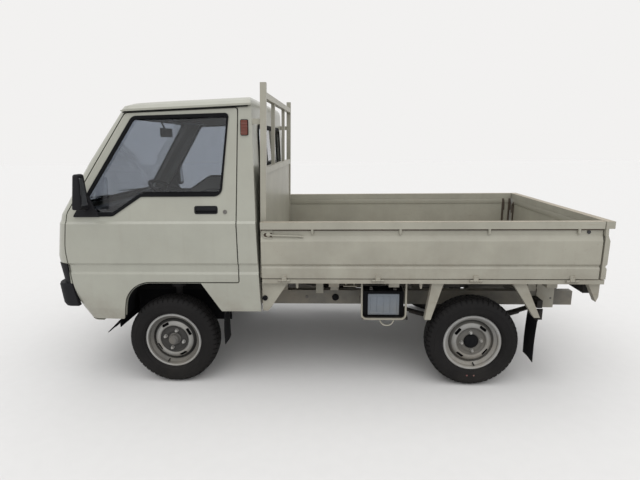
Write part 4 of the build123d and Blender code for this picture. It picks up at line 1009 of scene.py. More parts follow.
class TRUCK_OT_rims(bpy.types.Operator):
    """Steel rims with vent slots, a dark backing that paints the shade behind the slots, skins with a painted
    highlight on the lips and dust and painted shade further in, drums, nuts, studs, caps and valves
    """
    bl_idname = "truck.rims"
    bl_label = "Rims"

    def execute(self, context):
        disc = turned(DISC_SECTION, (0, 0, 0), steps=96)
        cutters = []
        nuts = []
        for count in range(NUT_COUNT):
            slot = block(*VENT_SLOT, 0.0055, 3)
            slot.data.transform(Matrix.Rotation(math.radians(45 + 90 * count), 4, "Y"))
            cutters.append(slot)
            turn = 2 * math.pi * count / NUT_COUNT
            spot = Vector((NUT_CIRCLE * math.cos(turn), NUT_SEAT, NUT_CIRCLE * math.sin(turn)))
            nuts.append(turned(NUT_SECTION, spot, (0, 1, 0), 6))
            nuts.append(turned(STUD_SECTION, spot, (0, 1, 0), 12))
        cutter = joined(cutters)
        with_modifier(disc, "BOOLEAN", object=cutter, operation="DIFFERENCE", solver="EXACT")
        bpy.data.objects.remove(cutter)
        valve = bar([(0.0, 0.03, -0.139), (0.0, 0.046, -0.141), (0.0, 0.058, -0.1425)], 0.0038)
        sources = {
            "rim_disc": disc, "wheel_nuts": joined(nuts), "tyre_valve": valve,
            "rim_barrel": turned(RIM_SECTION, (0, 0, 0), steps=96),
            "rim_lip_highlight": turned(skin(RIM_LIP_HIGHLIGHT), (0, 0, 0), steps=96),
            "rim_dish": turned(skin(DISC_DISH), (0, 0, 0), steps=64),
            "rim_slope": turned(skin(DISC_SLOPE), (0, 0, 0), steps=96),
            "vent_shade_backing": turned(SHADE_BACKING_SECTION, (0, 0, 0), steps=64),
            "brake_drum": turned(DRUM_SECTION, (0, 0, 0), steps=64),
            "grey_cap": turned(GREY_CAP, (0, 0, 0), steps=40),
            "black_cap": turned(BLACK_CAP, (0, 0, 0), steps=40),
        }
        # The vent backing is a black sheet that paints the shade behind the slots
        plain = {"rim_disc": "wheel_silver", "rim_lip_highlight": "wheel_lip_highlight", "vent_shade_backing": "flap_rubber",
                 "brake_drum": "worn_casting", "wheel_nuts": "bright_steel", "tyre_valve": "flap_rubber"}
        # The front wheels' barrels, dishes and slopes are darker than the rear ones: painted shade
        front = {**plain, "rim_barrel": "wheel_dust_and_shade", "rim_dish": "wheel_shadow",
                 "rim_slope": "wheel_shadow", "grey_cap": "grey_plastic"}
        rear = {**plain, "rim_barrel": "wheel_silver", "rim_dish": "wheel_dust_and_shade",
                "rim_slope": "wheel_dust_and_shade", "black_cap": "flap_rubber"}
        for name, x, side, _, rim_turn in WHEELS:
            turn = Matrix.Rotation(math.radians(rim_turn), 4, "Y")
            flip = Matrix.Scale(side, 4, (0, 1, 0)) @ turn
            for label, finish in (front if x > 0 else rear).items():
                made = copy_of(sources[label], (x, side * WHEEL_Y, AXLE_Z), flip)
                point_outwards(made)
                word = "hub_cap" if label.endswith("_cap") else label
                settle(made, f"{word}_{name}", finish, f"{name}_wheel", 30.0)
                if label == "rim_disc":
                    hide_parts(f"rim_{name}")
        for source in sources.values():
            bpy.data.objects.remove(source)
        return {"FINISHED"}


class TRUCK_OT_glazing(bpy.types.Operator):
    """Rubber gaskets round the windows, and the wipers at the foot of the door windows"""
    bl_idname = "truck.glazing"
    bl_label = "Glazing"

    def execute(self, context):
        width = context.scene.truck_sizes.gasket
        for rows, place, push, name in (
                (WINDSCREEN, nose_place, (0.006, 0, 0.003), "windscreen_gasket"),
                (REAR_WINDOW, rear_place, (-0.007, 0, 0), "rear_window_gasket")):
            gasket = frame_on(place, rounded(rows), width * 0.45, width * 0.65, 0.0005, push, 0.0028)
            settle(gasket, name, "flap_rubber", "chassis")
        for side, label in SIDES:
            body = f"{label}_door"
            place = on_side(side)
            outer = [place(p.x, p.y, 0.0005) for p in moved_in(rounded(DOOR_RUBBER), -width * 0.28)]
            inner = [place(p.x, p.y, -0.002) for p in rounded(DOOR_OPENING)]
            gasket = band(outer, inner, (0, side * 0.006, 0), 0.0026)
            settle(gasket, f"window_gasket_{label}", "flap_rubber", body)
            strip = [(0.56, 1.158), (0.99, 1.158), (0.99, 1.168), (0.56, 1.168)]
            wiper = plate_on(place, strip, -0.006, (0, side * 0.006, 0), 0.0015)
            settle(wiper, f"window_wiper_{label}", "flap_rubber", body)
        return {"FINISHED"}


# Mirror head at its foot and its top: height, middle along the truck, depth, width across
MIRROR_SHAPE = [(1.085, 1.298, 0.058, 0.100), (1.276, 1.291, 0.034, 0.068)]
MIRROR_LOW = MIRROR_SHAPE[0][0]
MIRROR_HIGH = MIRROR_SHAPE[1][0]
MIRROR_Y = 0.770
MIRROR_TAPER = 0.8
MIRROR_RIM = 0.016
MIRROR_FOOT = [(1.240, 1.030), (1.392, 1.030), (1.390, 1.040), (1.318, 1.150), (1.300, 1.150), (1.270, 1.080)]
MIRROR_ARM = [(1.318, 0.684, 1.080), (1.312, 0.708, 1.086), (1.294, 0.738, 1.100), (1.294, 0.756, 1.118)]


def mirror_row(height):
    """Middle, depth and width of the mirror head at a height."""
    share = (height - MIRROR_LOW) / (MIRROR_HIGH - MIRROR_LOW)
    return [low + (high - low) * share for low, high in zip(MIRROR_SHAPE[0][1:], MIRROR_SHAPE[1][1:])]


class TRUCK_OT_mirrors(bpy.types.Operator):
    """Door mirrors with their triangular feet"""
    bl_idname = "truck.mirrors"
    bl_label = "Mirrors"

    def execute(self, context):
        for side, label in SIDES:
            body = f"{label}_door"
            shell = side_block(side, (1.25, 0.72, MIRROR_LOW), (1.30, 0.82, MIRROR_HIGH), 0.0)
            for vertex in shell.data.vertices:
                middle, deep, wide = mirror_row(vertex.co.z)
                ahead = 1 if vertex.co.x > 1.275 else -1
                out = 1 if abs(vertex.co.y) > MIRROR_Y else -1
                vertex.co.x = middle + ahead * deep / 2
                vertex.co.y = side * (MIRROR_Y + out * wide / 2 * (1.0 if ahead < 0 else MIRROR_TAPER))
            soften(shell, 0.012, 4)
            # Only the flat that faces backwards, without the facets of its rounding
            edit_faces(shell, lambda middle, normal: normal.x < -0.993)
            bpy.ops.mesh.inset(thickness=0.005, depth=0.0)
            bpy.ops.mesh.inset(thickness=0.001, depth=-0.004)
            close_edit()
            settle(shell, f"mirror_shell_{label}", "black_plastic", body)
            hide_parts(f"mirror_{label}")
            rows = []
            for height, out in ((MIRROR_LOW + 0.02, -1), (MIRROR_LOW + 0.02, 1), (MIRROR_HIGH - 0.02, 1),
                                (MIRROR_HIGH - 0.02, -1)):
                reach = mirror_row(height)[2] / 2 - MIRROR_RIM
                rows.append((side * (MIRROR_Y + out * reach), height, 0.012))
            points = []
            for point in rounded(rows, 4):
                middle, deep, wide = mirror_row(point.y)
                points.append(Vector((middle - deep / 2 + 0.0035, point.x, point.y)))
            glass = plate(points, (-0.0025, 0, 0), 0.0006, 1)
            settle(glass, f"mirror_glass_{label}", "mirror_glass", body, 30.0)
            foot = plate_on(on_side(side), MIRROR_FOOT, -0.004, (0, side * 0.016, 0), 0.004, 3)
            settle(foot, f"mirror_foot_{label}", "black_plastic", body)
            arm = bar([(x, side * y, z) for x, y, z in MIRROR_ARM], 0.015, smooth=True, rounds=3)
            settle(arm, f"mirror_arm_{label}", "black_plastic", body, 60.0)
        return {"FINISHED"}


# Door fittings: outlines along the truck and in height, with corner radii
HANDLE_FRAME = [(0.567, 1.044, 0.011), (0.699, 1.044, 0.011), (0.699, 1.089, 0.011), (0.567, 1.089, 0.011)]
HANDLE_PADDLE = [(0.574, 1.062, 0.006), (0.692, 1.062, 0.006), (0.692, 1.083, 0.006), (0.574, 1.083, 0.006)]
DOOR_CARD = [(0.505, 0.70, 0.03), (0.495, 1.07, 0.03), (1.02, 1.07, 0.05), (1.18, 0.985, 0.05),
             (1.365, 0.975, 0.04), (1.37, 0.70, 0.06)]
LOCK_SECTION = [(-0.004, 0.0), (-0.004, 0.012), (0.002, 0.012), (0.0035, 0.0105), (0.0035, 0.0078),
                (0.002, 0.007), (0.002, 0.0)]
WINDER_HUB = [(0.0, 0.0), (0.0, 0.022), (0.012, 0.019), (0.016, 0.0)]
WINDER_KNOB = [(0.0, 0.0), (0.0, 0.010), (0.026, 0.012), (0.03, 0.0)]
WINDER_ARM = [(1.13, 0.646, 0.85), (1.16, 0.64, 0.80), (1.185, 0.638, 0.76)]


class TRUCK_OT_door_fittings(bpy.types.Operator):
    """Door handles, locks and the inside of the doors"""
    bl_idname = "truck.door_fittings"
    bl_label = "Door fittings"

    def execute(self, context):
        for side, label in SIDES:
            body = f"{label}_door"
            place = on_side(side)
            rows = rounded(HANDLE_FRAME, 4)
            rim = frame_on(place, rows, 0.0, 0.006, 0.0002, (0, side * 0.0028, 0), 0.001)
            settle(rim, f"handle_frame_{label}", "black_plastic", body)
            cup = plate_on(place, moved_in(rows, 0.004), -0.0138, (0, side * 0.003, 0))
            settle(cup, f"handle_cup_{label}", "black_plastic", body)
            paddle = plate_on(place, rounded(HANDLE_PADDLE, 4), -0.006, (0, side * 0.009, 0), 0.002, 3)
            settle(paddle, f"handle_paddle_{label}", "black_plastic", body)
            spot = side_place(0.526, 1.055, 0.0, side)
            lock = turned(LOCK_SECTION, spot, (0, side, 0.13), 28)
            settle(lock, f"lock_{label}", "worn_casting", body, 30.0)
            slit = block((0.5252, spot.y - 0.001, 1.0505), (0.5268, spot.y + side * 0.0026, 1.0595),
                         0.0004, 1)
            settle(slit, f"lock_slit_{label}", "dark_face_and_shade", body)
            card = plate_along(rounded(DOOR_CARD, 4), side * 0.6625, (0, -side * 0.004, 0), 0.0015)
            edit_faces(card, lambda middle, normal: normal.y * side < -0.9)
            bpy.ops.mesh.inset(thickness=0.03, depth=0.0)
            bpy.ops.mesh.inset(thickness=0.004, depth=0.003)
            close_edit()
            point_outwards(card)
            settle(card, f"door_card_{label}", "grey_plastic", body, 30.0)
            rest = side_block(side, (0.72, 0.628, 0.905), (1.0, 0.659, 0.945), 0.012, 4)
            settle(rest, f"arm_rest_{label}", "black_plastic", body)
            winder = joined([
                turned(WINDER_HUB, (1.13, side * 0.6585, 0.85), (0, -side, 0), 24),
                bar([(x, side * y, z) for x, y, z in WINDER_ARM], 0.006),
                turned(WINDER_KNOB, (1.185, side * 0.638, 0.76), (0, -side, 0), 20)])
            settle(winder, f"window_winder_{label}", "black_plastic", body)
            pull = joined([
                side_block(side, (1.02, 0.645, 0.965), (1.10, 0.66, 0.995), 0.004),
                side_block(side, (1.03, 0.638, 0.972), (1.07, 0.647, 0.988))])
            settle(pull, f"inner_handle_{label}", "black_plastic", body)
        return {"FINISHED"}


WIPER_PIVOT = [(0.0, 0.0), (0.0, 0.011), (0.016, 0.009), (0.02, 0.0)]
# Where each wiper's pivot and its blade's tip are across the truck
WIPER_REACH = ((-0.060, 0.380), (-0.520, -0.080))
BLADE_STEPS = 8
BLADE_PROUD = 0.0035


class TRUCK_OT_wipers(bpy.types.Operator):
    """Wiper arms and blades"""
    bl_idname = "truck.wipers"
    bl_label = "Wipers"

    def execute(self, context):
        parts = []
        blades = []
        for pivot_y, tip_y in WIPER_REACH:
            run = tip_y - pivot_y
            heel = nose_place(pivot_y, 1.054, -0.006)
            head = nose_place(pivot_y, 1.058, 0.013)
            parts.append(turned(WIPER_PIVOT, heel, head - heel, 18))
            middle = nose_place(pivot_y + run * 0.42, 1.082, 0.012)
            end = nose_place(pivot_y + run * 0.62, 1.089, 0.009)
            parts.append(bar([head, middle, end], 0.0042, rounds=1))
            low = nose_place(pivot_y + run * 0.18, 1.0805, BLADE_PROUD)
            high = nose_place(tip_y, 1.1, BLADE_PROUD)
            line = []
            for step in range(BLADE_STEPS + 1):
                spot = low.lerp(high, step / BLADE_STEPS)
                line.append(nose_place(spot.y, spot.z, BLADE_PROUD))
            blades.append(bar(line, 0.0026, rounds=1))
            parts.append(bar([point + Vector((0.004, 0, 0.002)) for point in line], 0.002, rounds=1))
        wiper = settle(joined(parts), "wiper_arms", "black_plastic", "chassis")
        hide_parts("wipers")
        settle(joined(blades), "wiper_blades", "flap_rubber", "chassis")
        return {"FINISHED"}


def nose_patch(corners, proud, thick, columns=14, rows=6, dish=0.0):
    """Sheet along the nose between two corners, given across and in height, dished where asked."""
    start()
    (y_low, z_low), (y_high, z_high) = corners
    bpy.ops.mesh.primitive_grid_add(x_subdivisions=columns, y_subdivisions=rows, size=1.0)
    piece = bpy.context.object
    for vertex in piece.data.vertices:
        across = vertex.co.x + 0.5
        up = vertex.co.y + 0.5
        hollow = dish * (1 - (2 * across - 1) ** 2) * (1 - (2 * up - 1) ** 2)
        y = y_low + (y_high - y_low) * across
        vertex.co = nose_place(y, z_low + (z_high - z_low) * up, proud - hollow)
    with_modifier(piece, "SOLIDIFY", thickness=thick, offset=0.0)
    return point_outwards(piece)


# Headlamps on the nose: ends across, heights of the lens, heights of the rim
LAMP_INNER = 0.341
LAMP_OUTER = 0.559
LENS_LOW = 0.643
LENS_HIGH = 0.749
RIM_LOW = 0.641
RIM_HIGH = 0.752
GARNISH_HEIGHTS = (0.664, 0.686, 0.708, 0.730)
BULB_SECTION = [(0.0, 0.0), (0.0, 0.008), (0.006, 0.007), (0.009, 0.0)]
# Amber marker lamp on the pillar behind the door
MARKER_RIM = [(0.3855, 1.4705, 0.008), (0.4295, 1.4705, 0.008), (0.4295, 1.5565, 0.008),
              (0.3855, 1.5565, 0.008)]
MARKER_X = 0.4075
MARKER_FIRST_RIDGE = 1.485
MARKER_PITCH = 0.0145
MARKER_RIDGES = 5


class TRUCK_OT_nose(bpy.types.Operator):
    """Headlamps, garnish ribs and plate bolts, and the marker lamps' rims and ridges"""
    bl_idname = "truck.nose"
    bl_label = "Nose"

    def execute(self, context):
        for side, label in SIDES:
            low, high = sorted((side * LAMP_INNER, side * LAMP_OUTER))
            corners = ((low, LENS_LOW), (high, LENS_HIGH))
            glass = nose_patch(corners, 0.001, 0.003)
            settle(glass, f"headlamp_lens_{label}", "clear_lens", "chassis", 50.0)
            if side == 1:
                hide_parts("headlamps")
            bowl = nose_patch(corners, -0.004, 0.0015, 18, 12, 0.014)
            settle(bowl, f"headlamp_bowl_{label}", "reflector", "chassis", 50.0)
            bulb = turned(BULB_SECTION, nose_place(side * 0.45, 0.697, -0.016), (1, 0, 0), 16)
            settle(bulb, f"headlamp_bulb_{label}", "clear_lens", "chassis", 50.0)
            rows = [(low, RIM_LOW, 0.007), (high, RIM_LOW, 0.007), (high, RIM_HIGH, 0.007),
                    (low, RIM_HIGH, 0.007)]
            rim = frame_on(nose_place, rounded(rows, 3), 0.003, 0.005, 0.0025, (0.0035, 0, 0), 0.0012)
            settle(rim, f"headlamp_rim_{label}", "black_plastic", "chassis")
            rim = frame_on(on_side(side), rounded(MARKER_RIM, 4), 0.0, 0.0045, 0.0005,
                           (0, side * 0.005, 0), 0.0012)
            settle(rim, f"marker_rim_{label}", "flap_rubber", "chassis")
            ridges = []
            for step in range(MARKER_RIDGES):
                height = MARKER_FIRST_RIDGE + step * MARKER_PITCH
                spot = side_place(MARKER_X, height, 0.0095, side)
                ridges.append(block((0.393, spot.y - 0.0008, height - 0.0018),
                                    (0.422, spot.y + 0.0012, height + 0.0018), 0.0006, 1))
            settle(joined(ridges), f"marker_ridges_{label}", "amber_lens", "chassis", 30.0)
        ribs = [nose_patch(((-0.325, height - 0.0035), (0.325, height + 0.0035)), 0.0045, 0.004, 16, 1)
                for height in GARNISH_HEIGHTS]
        settle(joined(ribs), "garnish_ribs", "black_plastic", "chassis", 50.0)
        spots = [(1.5905 - y * y / 10, y, 0.560) for y in (-0.105, 0.105)]
        settle(bolts(spots, (1, 0, 0), 0.006, 0.004), "plate_bolts", "bright_steel", "chassis", 30.0)
        return {"FINISHED"}


# Side gate fittings measured from the photograph, along the truck
ROPE_HOOK_X = (0.039, -0.450, -0.934, -1.415)
HINGE_X = (0.204, -0.330, -0.876, -1.403)
DECK_PEG_X = (0.132, -0.577)
HINGE_BOLT_Z = 0.683
HINGE_BOLT_SHIFTS = (-0.007, 0.007)
# Pegs: offset down the peg, radius
ROPE_PEG = [(-0.002, 0.0), (-0.002, 0.008), (0.022, 0.0074), (0.030, 0.0056), (0.033, 0.003), (0.033, 0.0)]
DECK_PEG = [(-0.004, 0.0), (-0.004, 0.0095), (0.028, 0.0075), (0.036, 0.005), (0.036, 0.0)]
# Rail on top of the gates: the side gates' ends along the truck, the tailgate's ends across, heights
RAIL_REAR = -1.544
RAIL_FRONT = 0.329
TAIL_HALF = 0.697
RAIL_FOOT = 0.957
RAIL_TOP = 0.9965
BAND_LOW = 0.916
BAND_HIGH = 0.9575
# Front latch of a side gate, for the left side
LATCH_BAR = [(0.286, 0.689, 0.927), (0.25, 0.6935, 0.9225), (0.12, 0.6935, 0.9185), (0.09, 0.6925, 0.914)]
LATCH_KNOB = [(0.0, 0.0), (0.0, 0.013), (0.008, 0.013), (0.010, 0.009), (0.010, 0.0)]
LATCH_PLATE = [(0.262, 0.905), (0.318, 0.905), (0.322, 0.95), (0.262, 0.95)]
LATCH_LOOP = [(0.262, 0.9415), (0.300, 0.9415), (0.3165, 0.932), (0.3165, 0.918), (0.300, 0.9065),
              (0.262, 0.9065)]
# Thin blocks on each side gate: name, finish, two corners, rounding and its steps
GATE_BLOCKS = [
    # Dark plate behind the latch loop: painted shade
    ("latch_shade", "dark_rust_and_shade", (0.266, 0.6868, 0.9105), (0.314, 0.6878, 0.9375), 0.0004, 1),
    # Dark strip just under the rail: painted shadow of the rail
    ("rail_shadow", "dark_rust_and_shade", (-1.543, 0.6835, 0.9475), (0.328, 0.6852, 0.9565), 0.0004, 1),
    ("inner_band", "bed_paint", (RAIL_REAR, 0.6640, BAND_LOW), (RAIL_FRONT, 0.6675, BAND_HIGH), 0.001, 2),
]


def rail_wear(corners, name, body):
    """Worn top of a gate's rail."""
    wear = plate([(x, y, RAIL_TOP) for x, y in corners], (0, 0, 0.001), 0.0004, 1)
    settle(wear, name, "rail_rust", body, 30.0)


def side_gate_fittings(side, label):
    """Everything on one side gate."""
    body = f"{label}_gate"
    hooks = pegs(ROPE_PEG, [(x, side * 0.6885, RAIL_FOOT) for x in ROPE_HOOK_X])
    settle(hooks, f"rope_hooks_{label}", "bed_paint", body, 60.0)
    spots = [(x + shift, side * 0.6973, HINGE_BOLT_Z) for x in HINGE_X for shift in HINGE_BOLT_SHIFTS]
    settle(bolts(spots, (0, side, 0), 0.0036, 0.0026), f"hinge_bolts_{label}", "bed_paint", body, 30.0)
    lever = joined([
        bar([(x, side * y, z) for x, y, z in LATCH_BAR], 0.0045),
        turned(LATCH_KNOB, (0.286, side * 0.6825, 0.927), (0, side, 0), 20),
        plate_along(LATCH_PLATE, side * 0.684, (0, side * 0.003, 0), 0.001)])
    settle(lever, f"front_latch_{label}", "bed_paint", body)
    loop = bar([(x, side * 0.6905, z) for x, z in LATCH_LOOP], 0.0035, smooth=True)
    settle(loop, f"latch_loop_{label}", "bed_paint", body, 60.0)
    for word, finish, low, high, bevel, steps in GATE_BLOCKS:
        settle(side_block(side, low, high, bevel, steps), f"{word}_{label}", finish, body, 30.0)
    # Dark disc for a pin hole in the gate: its darkness is painted shade
    hole = turned([(0.0, 0.0), (0.0, 0.010), (0.0046, 0.010), (0.0046, 0.0)],
                  (-1.469, side * 0.681, 0.937), (0, side, 0), 20)
    settle(hole, f"pin_hole_shade_{label}", "dark_face_and_shade", body, 30.0)
    inside = side * 0.6635
    outside = side * 0.6975
    rail_wear([(RAIL_FRONT, inside), (RAIL_FRONT, outside), (RAIL_REAR, outside), (RAIL_REAR, inside)],
              f"rail_wear_{label}", body)
    straps = []
    for x in (-1.478, -1.530):
        rows = [(x + 0.003, 0.955), (x - 0.014, 0.955), (x - 0.014, 0.77), (x + 0.001, 0.77)]
        straps.append(plate_along(rows, side * 0.6675, (0, -side * 0.006, 0), 0.0015))
        straps.append(bar([(x - 0.009, side * 0.660, 0.945), (x - 0.012, side * 0.652, 0.925),
                           (x - 0.013, side * 0.656, 0.86)], 0.0045, smooth=True))
    settle(joined(straps), f"corner_straps_{label}", "dark_rust_and_shade", body)


def tailgate_fittings():
    """Everything on the tailgate."""
    rail_wear([(-1.5505, -TAIL_HALF), (-1.5505, TAIL_HALF), (-1.5965, TAIL_HALF), (-1.5965, -TAIL_HALF)],
              "rail_wear_rear", "rear_gate")
    inner = block((-1.5552, -TAIL_HALF, BAND_LOW), (-1.5515, TAIL_HALF, BAND_HIGH), 0.001)
    settle(inner, "inner_band_rear", "bed_paint", "rear_gate", 30.0)
    hooks = []
    for y in (-0.615, 0.615):
        rows = [(y - 0.012, 0.93), (y + 0.012, 0.93), (y + 0.008, 0.77), (y - 0.008, 0.77)]
        hooks.append(plate([(-1.5552, across, z) for across, z in rows], (0.006, 0, 0), 0.0015))
        hooks.append(bar([(-1.548, y, 0.92), (-1.536, y, 0.905), (-1.540, y, 0.84)], 0.0045, smooth=True))
    settle(joined(hooks), "tailgate_hooks", "dark_rust_and_shade", "rear_gate")
    spots = [(-1.5843, y + shift, HINGE_BOLT_Z) for y in (-0.47, 0.0, 0.47) for shift in HINGE_BOLT_SHIFTS]
    hinge_bolts = bolts(spots, (-1, 0, 0), 0.0036, 0.0026)
    settle(hinge_bolts, "tailgate_hinge_bolts", "bed_paint", "rear_gate", 30.0)


class TRUCK_OT_gate_fittings(bpy.types.Operator):
    """Rope hooks, hinge bolts, latches, inner bands and worn rails of the gates, and the deck's pegs"""
    bl_idname = "truck.gate_fittings"
    bl_label = "Gate fittings"

    def execute(self, context):
        for side, label in SIDES:
            side_gate_fittings(side, label)
        tailgate_fittings()
        deck = pegs(DECK_PEG, [(x, side * 0.668, 0.642) for side, label in SIDES for x in DECK_PEG_X])
        settle(deck, "deck_pegs", "bed_paint", "chassis", 60.0)
        return {"FINISHED"}


class TRUCK_OT_guard_fittings(bpy.types.Operator):
    """Bolts between the guard frame and the cab, and its worn feet"""
    bl_idname = "truck.guard_fittings"
    bl_label = "Guard fittings"

    def execute(self, context):
        spots = [(0.3622, side * 0.594, height) for side, label in SIDES for height in (1.538, 1.552)]
        settle(bolts(spots, (-1, 0, 0), 0.0045, 0.004), "guard_bolts", "bed_paint", "chassis", 30.0)
        feet = []
        for side, label in SIDES:
            feet.append(side_block(side, (0.296, 0.622, 0.690), (0.346, 0.662, 0.697), 0.002))
            feet.append(bolt((0.3035, side * 0.634, 0.697), (0, 0, 1), 0.006, 0.006))
        settle(joined(feet), "guard_feet", "rail_rust", "chassis", 30.0)
        return {"FINISHED"}


# Hoop round the battery's open side: its ends along the truck, its foot and top, width of its strip
HOOP_LEFT = -0.508
HOOP_RIGHT = -0.238
HOOP_LOW = 0.394
HOOP_TOP = 0.675
HOOP_STRIP = 0.011
LOOP_STEPS = 12
BATTERY_RIBS_X = (-0.452, -0.413, -0.374, -0.335, -0.296)
TERMINALS_X = (-0.445, -0.303)
TERMINAL_SECTION = [(0.0, 0.0), (0.0, 0.009), (0.014, 0.008), (0.014, 0.0)]
BATTERY_LEAD = [(-0.445, 0.545, 0.570), (-0.45, 0.52, 0.585), (-0.46, 0.47, 0.57), (-0.46, 0.42, 0.51),
                (-0.46, 0.375, 0.47)]


def hoop_corners(inset, top, radius):
    """The hoop's two rounded lower corners, moved in from its outside."""
    left = HOOP_LEFT + inset
    right = HOOP_RIGHT - inset
    foot = HOOP_LOW + inset
    rows = rounded([(left, top, 0.001), (left, foot, radius), (right, foot, radius), (right, top, 0.001)], 6)
    return rows[7:-7]


class TRUCK_OT_battery(bpy.types.Operator):
    """Battery with ribbed case, lid, terminals, lead, tray and the hoop round it"""
    bl_idname = "truck.battery"
    bl_label = "Battery"

    def execute(self, context):
        box = block((-0.4945, 0.4805, 0.4035), (-0.2555, 0.5900, 0.5625), 0.004)
        edit_faces(box, lambda middle, normal: abs(normal.x) > 0.9 or normal.z > 0.9)
        bpy.ops.mesh.inset(thickness=0.014, depth=-0.003)
        close_edit()
        settle(box, "battery_box", "flap_rubber", "chassis", 30.0)
        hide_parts("battery")
        case = block((-0.467, 0.50, 0.416), (-0.281, 0.599, 0.547), 0.004)
        edit_faces(case, lambda middle, normal: normal.y > 0.9)
        bpy.ops.mesh.inset(thickness=0.010, depth=-0.0015)
        close_edit()
        ribs = [block((x - 0.0016, 0.5965, 0.428), (x + 0.0016, 0.5993, 0.536), 0.0008, 1)
                for x in BATTERY_RIBS_X]
        settle(joined([case] + ribs), "battery_shell", "battery_shell", "chassis", 30.0)
        posts = []
        for x in TERMINALS_X:
            posts.append(turned(TERMINAL_SECTION, (x, 0.545, 0.5605), (0, 0, 1), 18))
            posts.append(block((x - 0.011, 0.534, 0.5595), (x + 0.011, 0.566, 0.5685), 0.002))
        settle(joined(posts), "battery_posts", "worn_casting", "chassis")
        settle(bar(BATTERY_LEAD, 0.005, smooth=True), "battery_lead", "flap_rubber", "chassis", 60.0)
        tray = joined([block((-0.519, 0.467, 0.3915), (-0.245, 0.611, 0.4030), 0.002)]
                      + [block((x - 0.012, 0.3705, 0.3915), (x + 0.012, 0.478, 0.4145), 0.002)
                         for x in (-0.395, -0.270)])
        settle(tray, "battery_tray", "black_steel", "chassis", 30.0)
        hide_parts("battery_carrier")
        outer = hoop_corners(0.0, HOOP_TOP, 0.034)
        inner = hoop_corners(HOOP_STRIP, HOOP_TOP - 0.0001, 0.023)
        right_ends = [(HOOP_RIGHT, HOOP_TOP), (HOOP_RIGHT - HOOP_STRIP, HOOP_TOP)]
        rows = ([(HOOP_LEFT, HOOP_TOP)] + outer + right_ends + inner[::-1]
                + [(HOOP_LEFT + HOOP_STRIP, HOOP_TOP)])
        hoop = plate_along(rows, 0.6125, (0, 0.013, 0), 0.0025)
        settle(hoop, "battery_hoop", "bed_paint", "chassis")
        loop = []
        for step in range(LOOP_STEPS + 1):
            turn = math.pi * step / LOOP_STEPS
            loop.append((-0.393 + 0.041 * math.cos(turn), 0.619, HOOP_LOW + 0.004 - 0.040 * math.sin(turn)))
        settle(bar(loop, 0.0042), "battery_loop", "bed_paint", "chassis", 60.0)
        return {"FINISHED"}


# Mud flaps: place along the truck, foot, top and word in the name
MUD_FLAPS = ((0.565, 0.250, 0.465, "front"), (-1.249, 0.154, 0.432, "rear"))
# Splash guard before a front wheel and its foot, along the truck and in height
GUARD_ROWS = [(1.2645, 0.331), (1.2065, 0.401), (1.2065, 0.499), (1.2115, 0.499), (1.2115, 0.403),
              (1.2685, 0.334)]
GUARD_FOOT = [(1.290, 0.313), (1.2115, 0.384), (1.2115, 0.350), (1.2075, 0.350), (1.2075, 0.396),
              (1.2115, 0.396), (1.292, 0.3175)]
GUARD_INNER_Y = 0.386


class TRUCK_OT_flaps(bpy.types.Operator):
    """Rubber flaps behind the wheels and the splash guards before the front ones"""
    bl_idname = "truck.flaps"
    bl_label = "Mud flaps"

    def execute(self, context):
        for side, label in SIDES:
            for x, low, high, where in MUD_FLAPS:
                flap = side_block(side, (x - 0.002, 0.531, low), (x + 0.002, 0.667, high), 0.0)
                edit_all(flap)
                bpy.ops.mesh.subdivide(number_cuts=7)
                close_edit()
                for vertex in flap.data.vertices:
                    drop = (high - vertex.co.z) / (high - low)
                    vertex.co.x += 0.006 * math.sin(drop * 2.2) * (1 + 0.4 * math.sin(vertex.co.y * 40))
                soften(flap, 0.0008, 1)
                settle(flap, f"mud_flap_{where}_{label}", "flap_rubber", "chassis")
                if where == "front" and side == 1:
                    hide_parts("mudguards")
                strip = side_block(side, (x - 0.004, 0.534, high - 0.022), (x + 0.004, 0.664, high - 0.006),
                                   0.001)
                settle(strip, f"flap_strip_{where}_{label}", "black_steel", "chassis", 30.0)
            guard = joined([
                plate_along(GUARD_ROWS, side * GUARD_INNER_Y, (0, side * 0.225, 0), 0.001, 1),
                plate_along(GUARD_FOOT, side * GUARD_INNER_Y, (0, side * 0.269, 0), 0.001, 1)])
            settle(guard, f"splash_guard_{label}", "flap_rubber", "chassis", 30.0)
        return {"FINISHED"}


# Lenses of a rear lamp: ends across, finish and word in the name
TAIL_LENSES = ((0.443, 0.487, "clear_lens", "reverse"), (0.489, 0.553, "red_lens", "stop"),
               (0.555, 0.597, "amber_lens", "turn"))
TAIL_FACE_X = -1.5655


class TRUCK_OT_tail(bpy.types.Operator):
    """Rear lamp clusters and the bare plate holder"""
    bl_idname = "truck.tail"
    bl_label = "Tail"

    def execute(self, context):
        for side, label in SIDES:
            for start_y, end_y, finish, word in TAIL_LENSES:
                shell = side_block(side, (TAIL_FACE_X, start_y, 0.566), (-1.556, end_y, 0.636), 0.003, 3)
                settle(shell, f"tail_{word}_{label}", finish, "chassis")
            spots = [(TAIL_FACE_X, side * y, 0.601) for y in (0.452, 0.588)]
            screws = bolts(spots, (-1, 0, 0), 0.0035, 0.002, 12)
            settle(screws, f"tail_screws_{label}", "bright_steel", "chassis", 30.0)
        holder = joined([
            block((-1.5695, -0.165, 0.470), (-1.5665, 0.165, 0.640), 0.001),
            block((-1.567, -0.12, 0.60), (-1.545, -0.09, 0.645), 0.002),
            block((-1.567, 0.09, 0.60), (-1.545, 0.12, 0.645), 0.002)])
        settle(holder, "plate_holder", "black_steel", "chassis", 30.0)
        lamp = block((-1.59, -0.05, 0.636), (-1.5665, 0.05, 0.652), 0.004, 3)
        settle(lamp, "plate_lamp", "black_plastic", "chassis")
        return {"FINISHED"}


